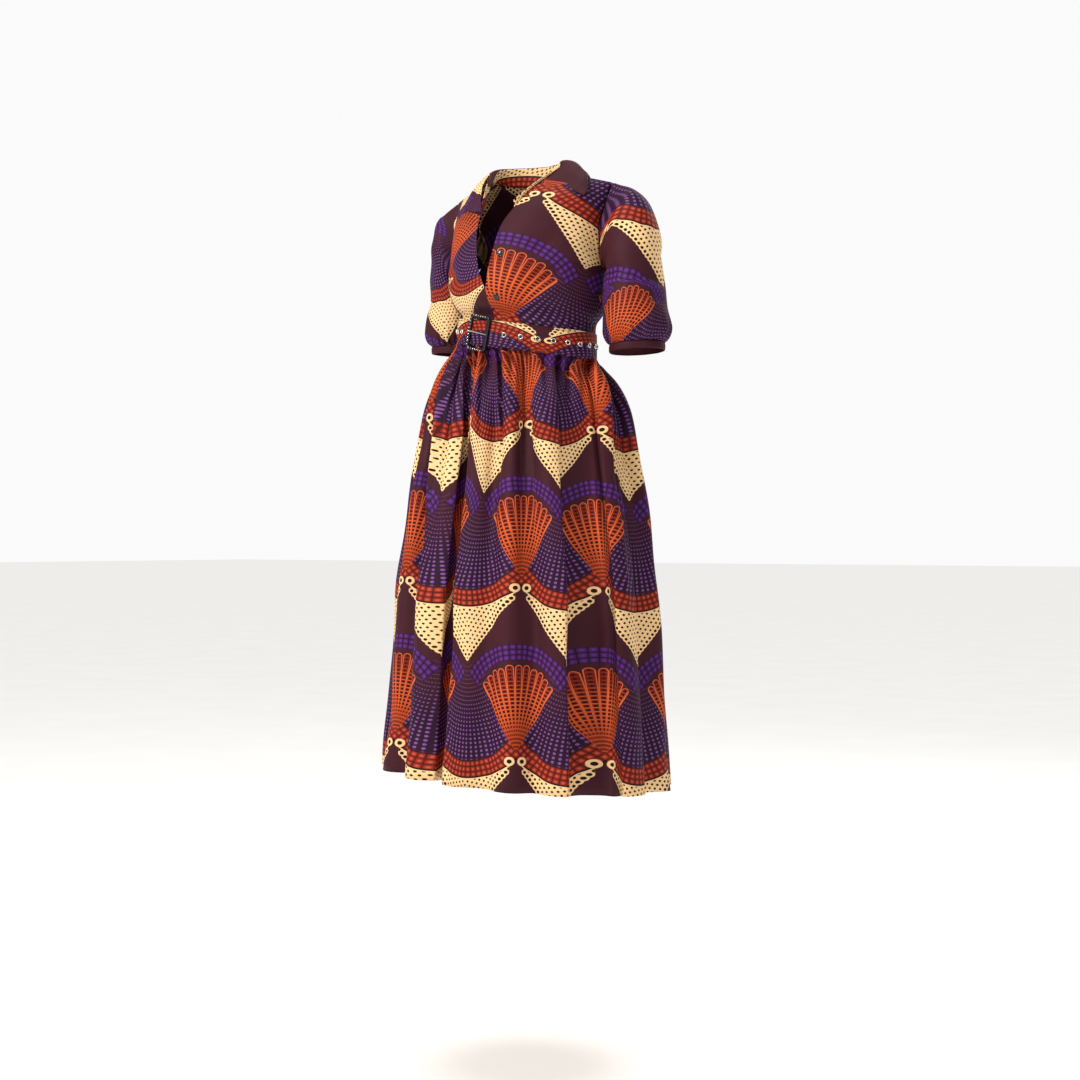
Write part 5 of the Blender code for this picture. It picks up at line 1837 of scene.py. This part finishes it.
def make_button(name, point, normal):
    """A moulded button with a raised rim, four holes shown as small discs of painted shade and
    a cross of thread.
    """
    place = np.array(Matrix.Translation(Vector(point) + normal * GAP) @ turned_to(normal))
    made = put(f"moulded_{name}", *lathe(BUTTON_PROFILE, 40, place), enamel)
    close_poles(made)
    stand(made, name)
    holes = [(0.0013 * sx, 0.0013 * sy) for sx in (-1, 1) for sy in (-1, 1)]
    # painted shade: a flat dark disc on the button's face at each hole, for the shadow inside it
    shade_disc = ((0.00055, 0.00002), (0.00001, 0.00006))
    parts = []
    for x, y in holes:
        parts.append(lathe(shade_disc, 12, place @ np.array(Matrix.Translation((x, y, 0.0015)))))
    hole_shade = put(f"painted_shade_in_holes_of_{name}", *joined(parts), shadow)
    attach(hole_shade, "root")
    parts = []
    for turned in (45, 135):
        share = np.linspace(-1, 1, 7)
        path = np.stack([0.0019 * share, 0 * share, 0.0019 - 0.0005 * share**2], axis=-1)
        spin = place @ np.array(Matrix.Rotation(math.radians(turned), 4, "Z"))
        parts.append(rod(path, 0.00028, spin))
    cross = put(f"thread_of_{name}", *joined(parts), thread)
    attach(cross, "root")


def rod(path, radius, place):
    """A thin round rod along a path in the XZ plane, moved by place."""
    turn = np.arange(6) * np.pi / 3
    ring = radius * np.stack([0 * turn, np.cos(turn), np.sin(turn)], axis=-1)
    return moved(path[:, None] + ring, place), tube_faces(len(path), len(turn))


for number, v in enumerate(FRONT_BUTTONS):
    point = front(np.array([BUTTON_INSET]), np.array([v]))[0, 0]
    make_button(f"button_front_{number + 1}", point, normal_of(front, BUTTON_INSET, v))
coarse = np.linspace(0, 2 * math.pi, 30, endpoint=False)
for name, right, column in CUFF_BUTTONS:
    band = cuff(coarse, np.array([0.5]), right)[0]
    point = (band[column] + band[column + 1]) / 2
    away = point - band.mean(axis=0)
    make_button(f"button_cuff_{name}", point, Vector((away[0], away[1], 0)).normalized())
print("buttons: 4")

# %% [markdown]
# ## Stitching
#
# The edges are topstitched with thread of the ground's colour, about three stitches to the
# centimetre. Each stitch is a tiny low arch of thread, sunk into the cloth at both ends.

# %% Stitches
STITCH_PITCH = 0.0036


def stitches(name, path, out, pitch=STITCH_PITCH, radius=0.00032):
    """One arch of thread for every pitch along a path, standing on its outward side."""
    run = lengths(path[None], 1)[0]
    count = int(run[-1] / pitch)
    share = np.array([0.12, 0.30, 0.50, 0.70, 0.88])
    at = (np.arange(count)[:, None] + share) * pitch
    centre = np.stack([np.interp(at, run, path[:, i]) for i in range(3)], axis=-1)
    lift = unit(np.stack([np.interp(at, run, out[:, i]) for i in range(3)], axis=-1))
    arch = np.array([-0.0003, 0.0001, 0.0002, 0.0001, -0.0003])
    centre = centre + lift * arch[None, :, None]
    side = np.cross(unit(np.gradient(centre, axis=1)), lift)
    turn = np.arange(5) * 2 * np.pi / 5
    ring = side[:, :, None] * np.cos(turn)[:, None] + lift[:, :, None] * np.sin(turn)[:, None]
    points = centre[:, :, None] + ring * radius
    first = np.arange(count)[:, None, None] * len(share) * len(turn)
    quads = (tube_faces(len(share), len(turn)) + first).reshape(-1, 4)
    made = put(f"stitches_{name}", points.reshape(-1, 3), quads, thread)
    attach(made, "root")
    print(made.name, "in", count, "arches")


for side in (-0.86, 0.86):
    along = np.linspace(1, 358 + BELT_TAIL - 7, 900)
    path = belt(along, np.array([side]))[0]
    out = outward(belt, along, np.array([side - 0.01, side]), True)[1]
    stitches(f"belt_{'low' if side < 0 else 'high'}", path + out * 0.0001, out)
half = np.linspace(-1.48, 0.985, 400)
w = np.array([0.90, 0.93])
path = collar_fall(half, w)[1]
out = outward(collar_fall, half, w, False)[1]
stitches("collar", path + out * -0.0002, out)
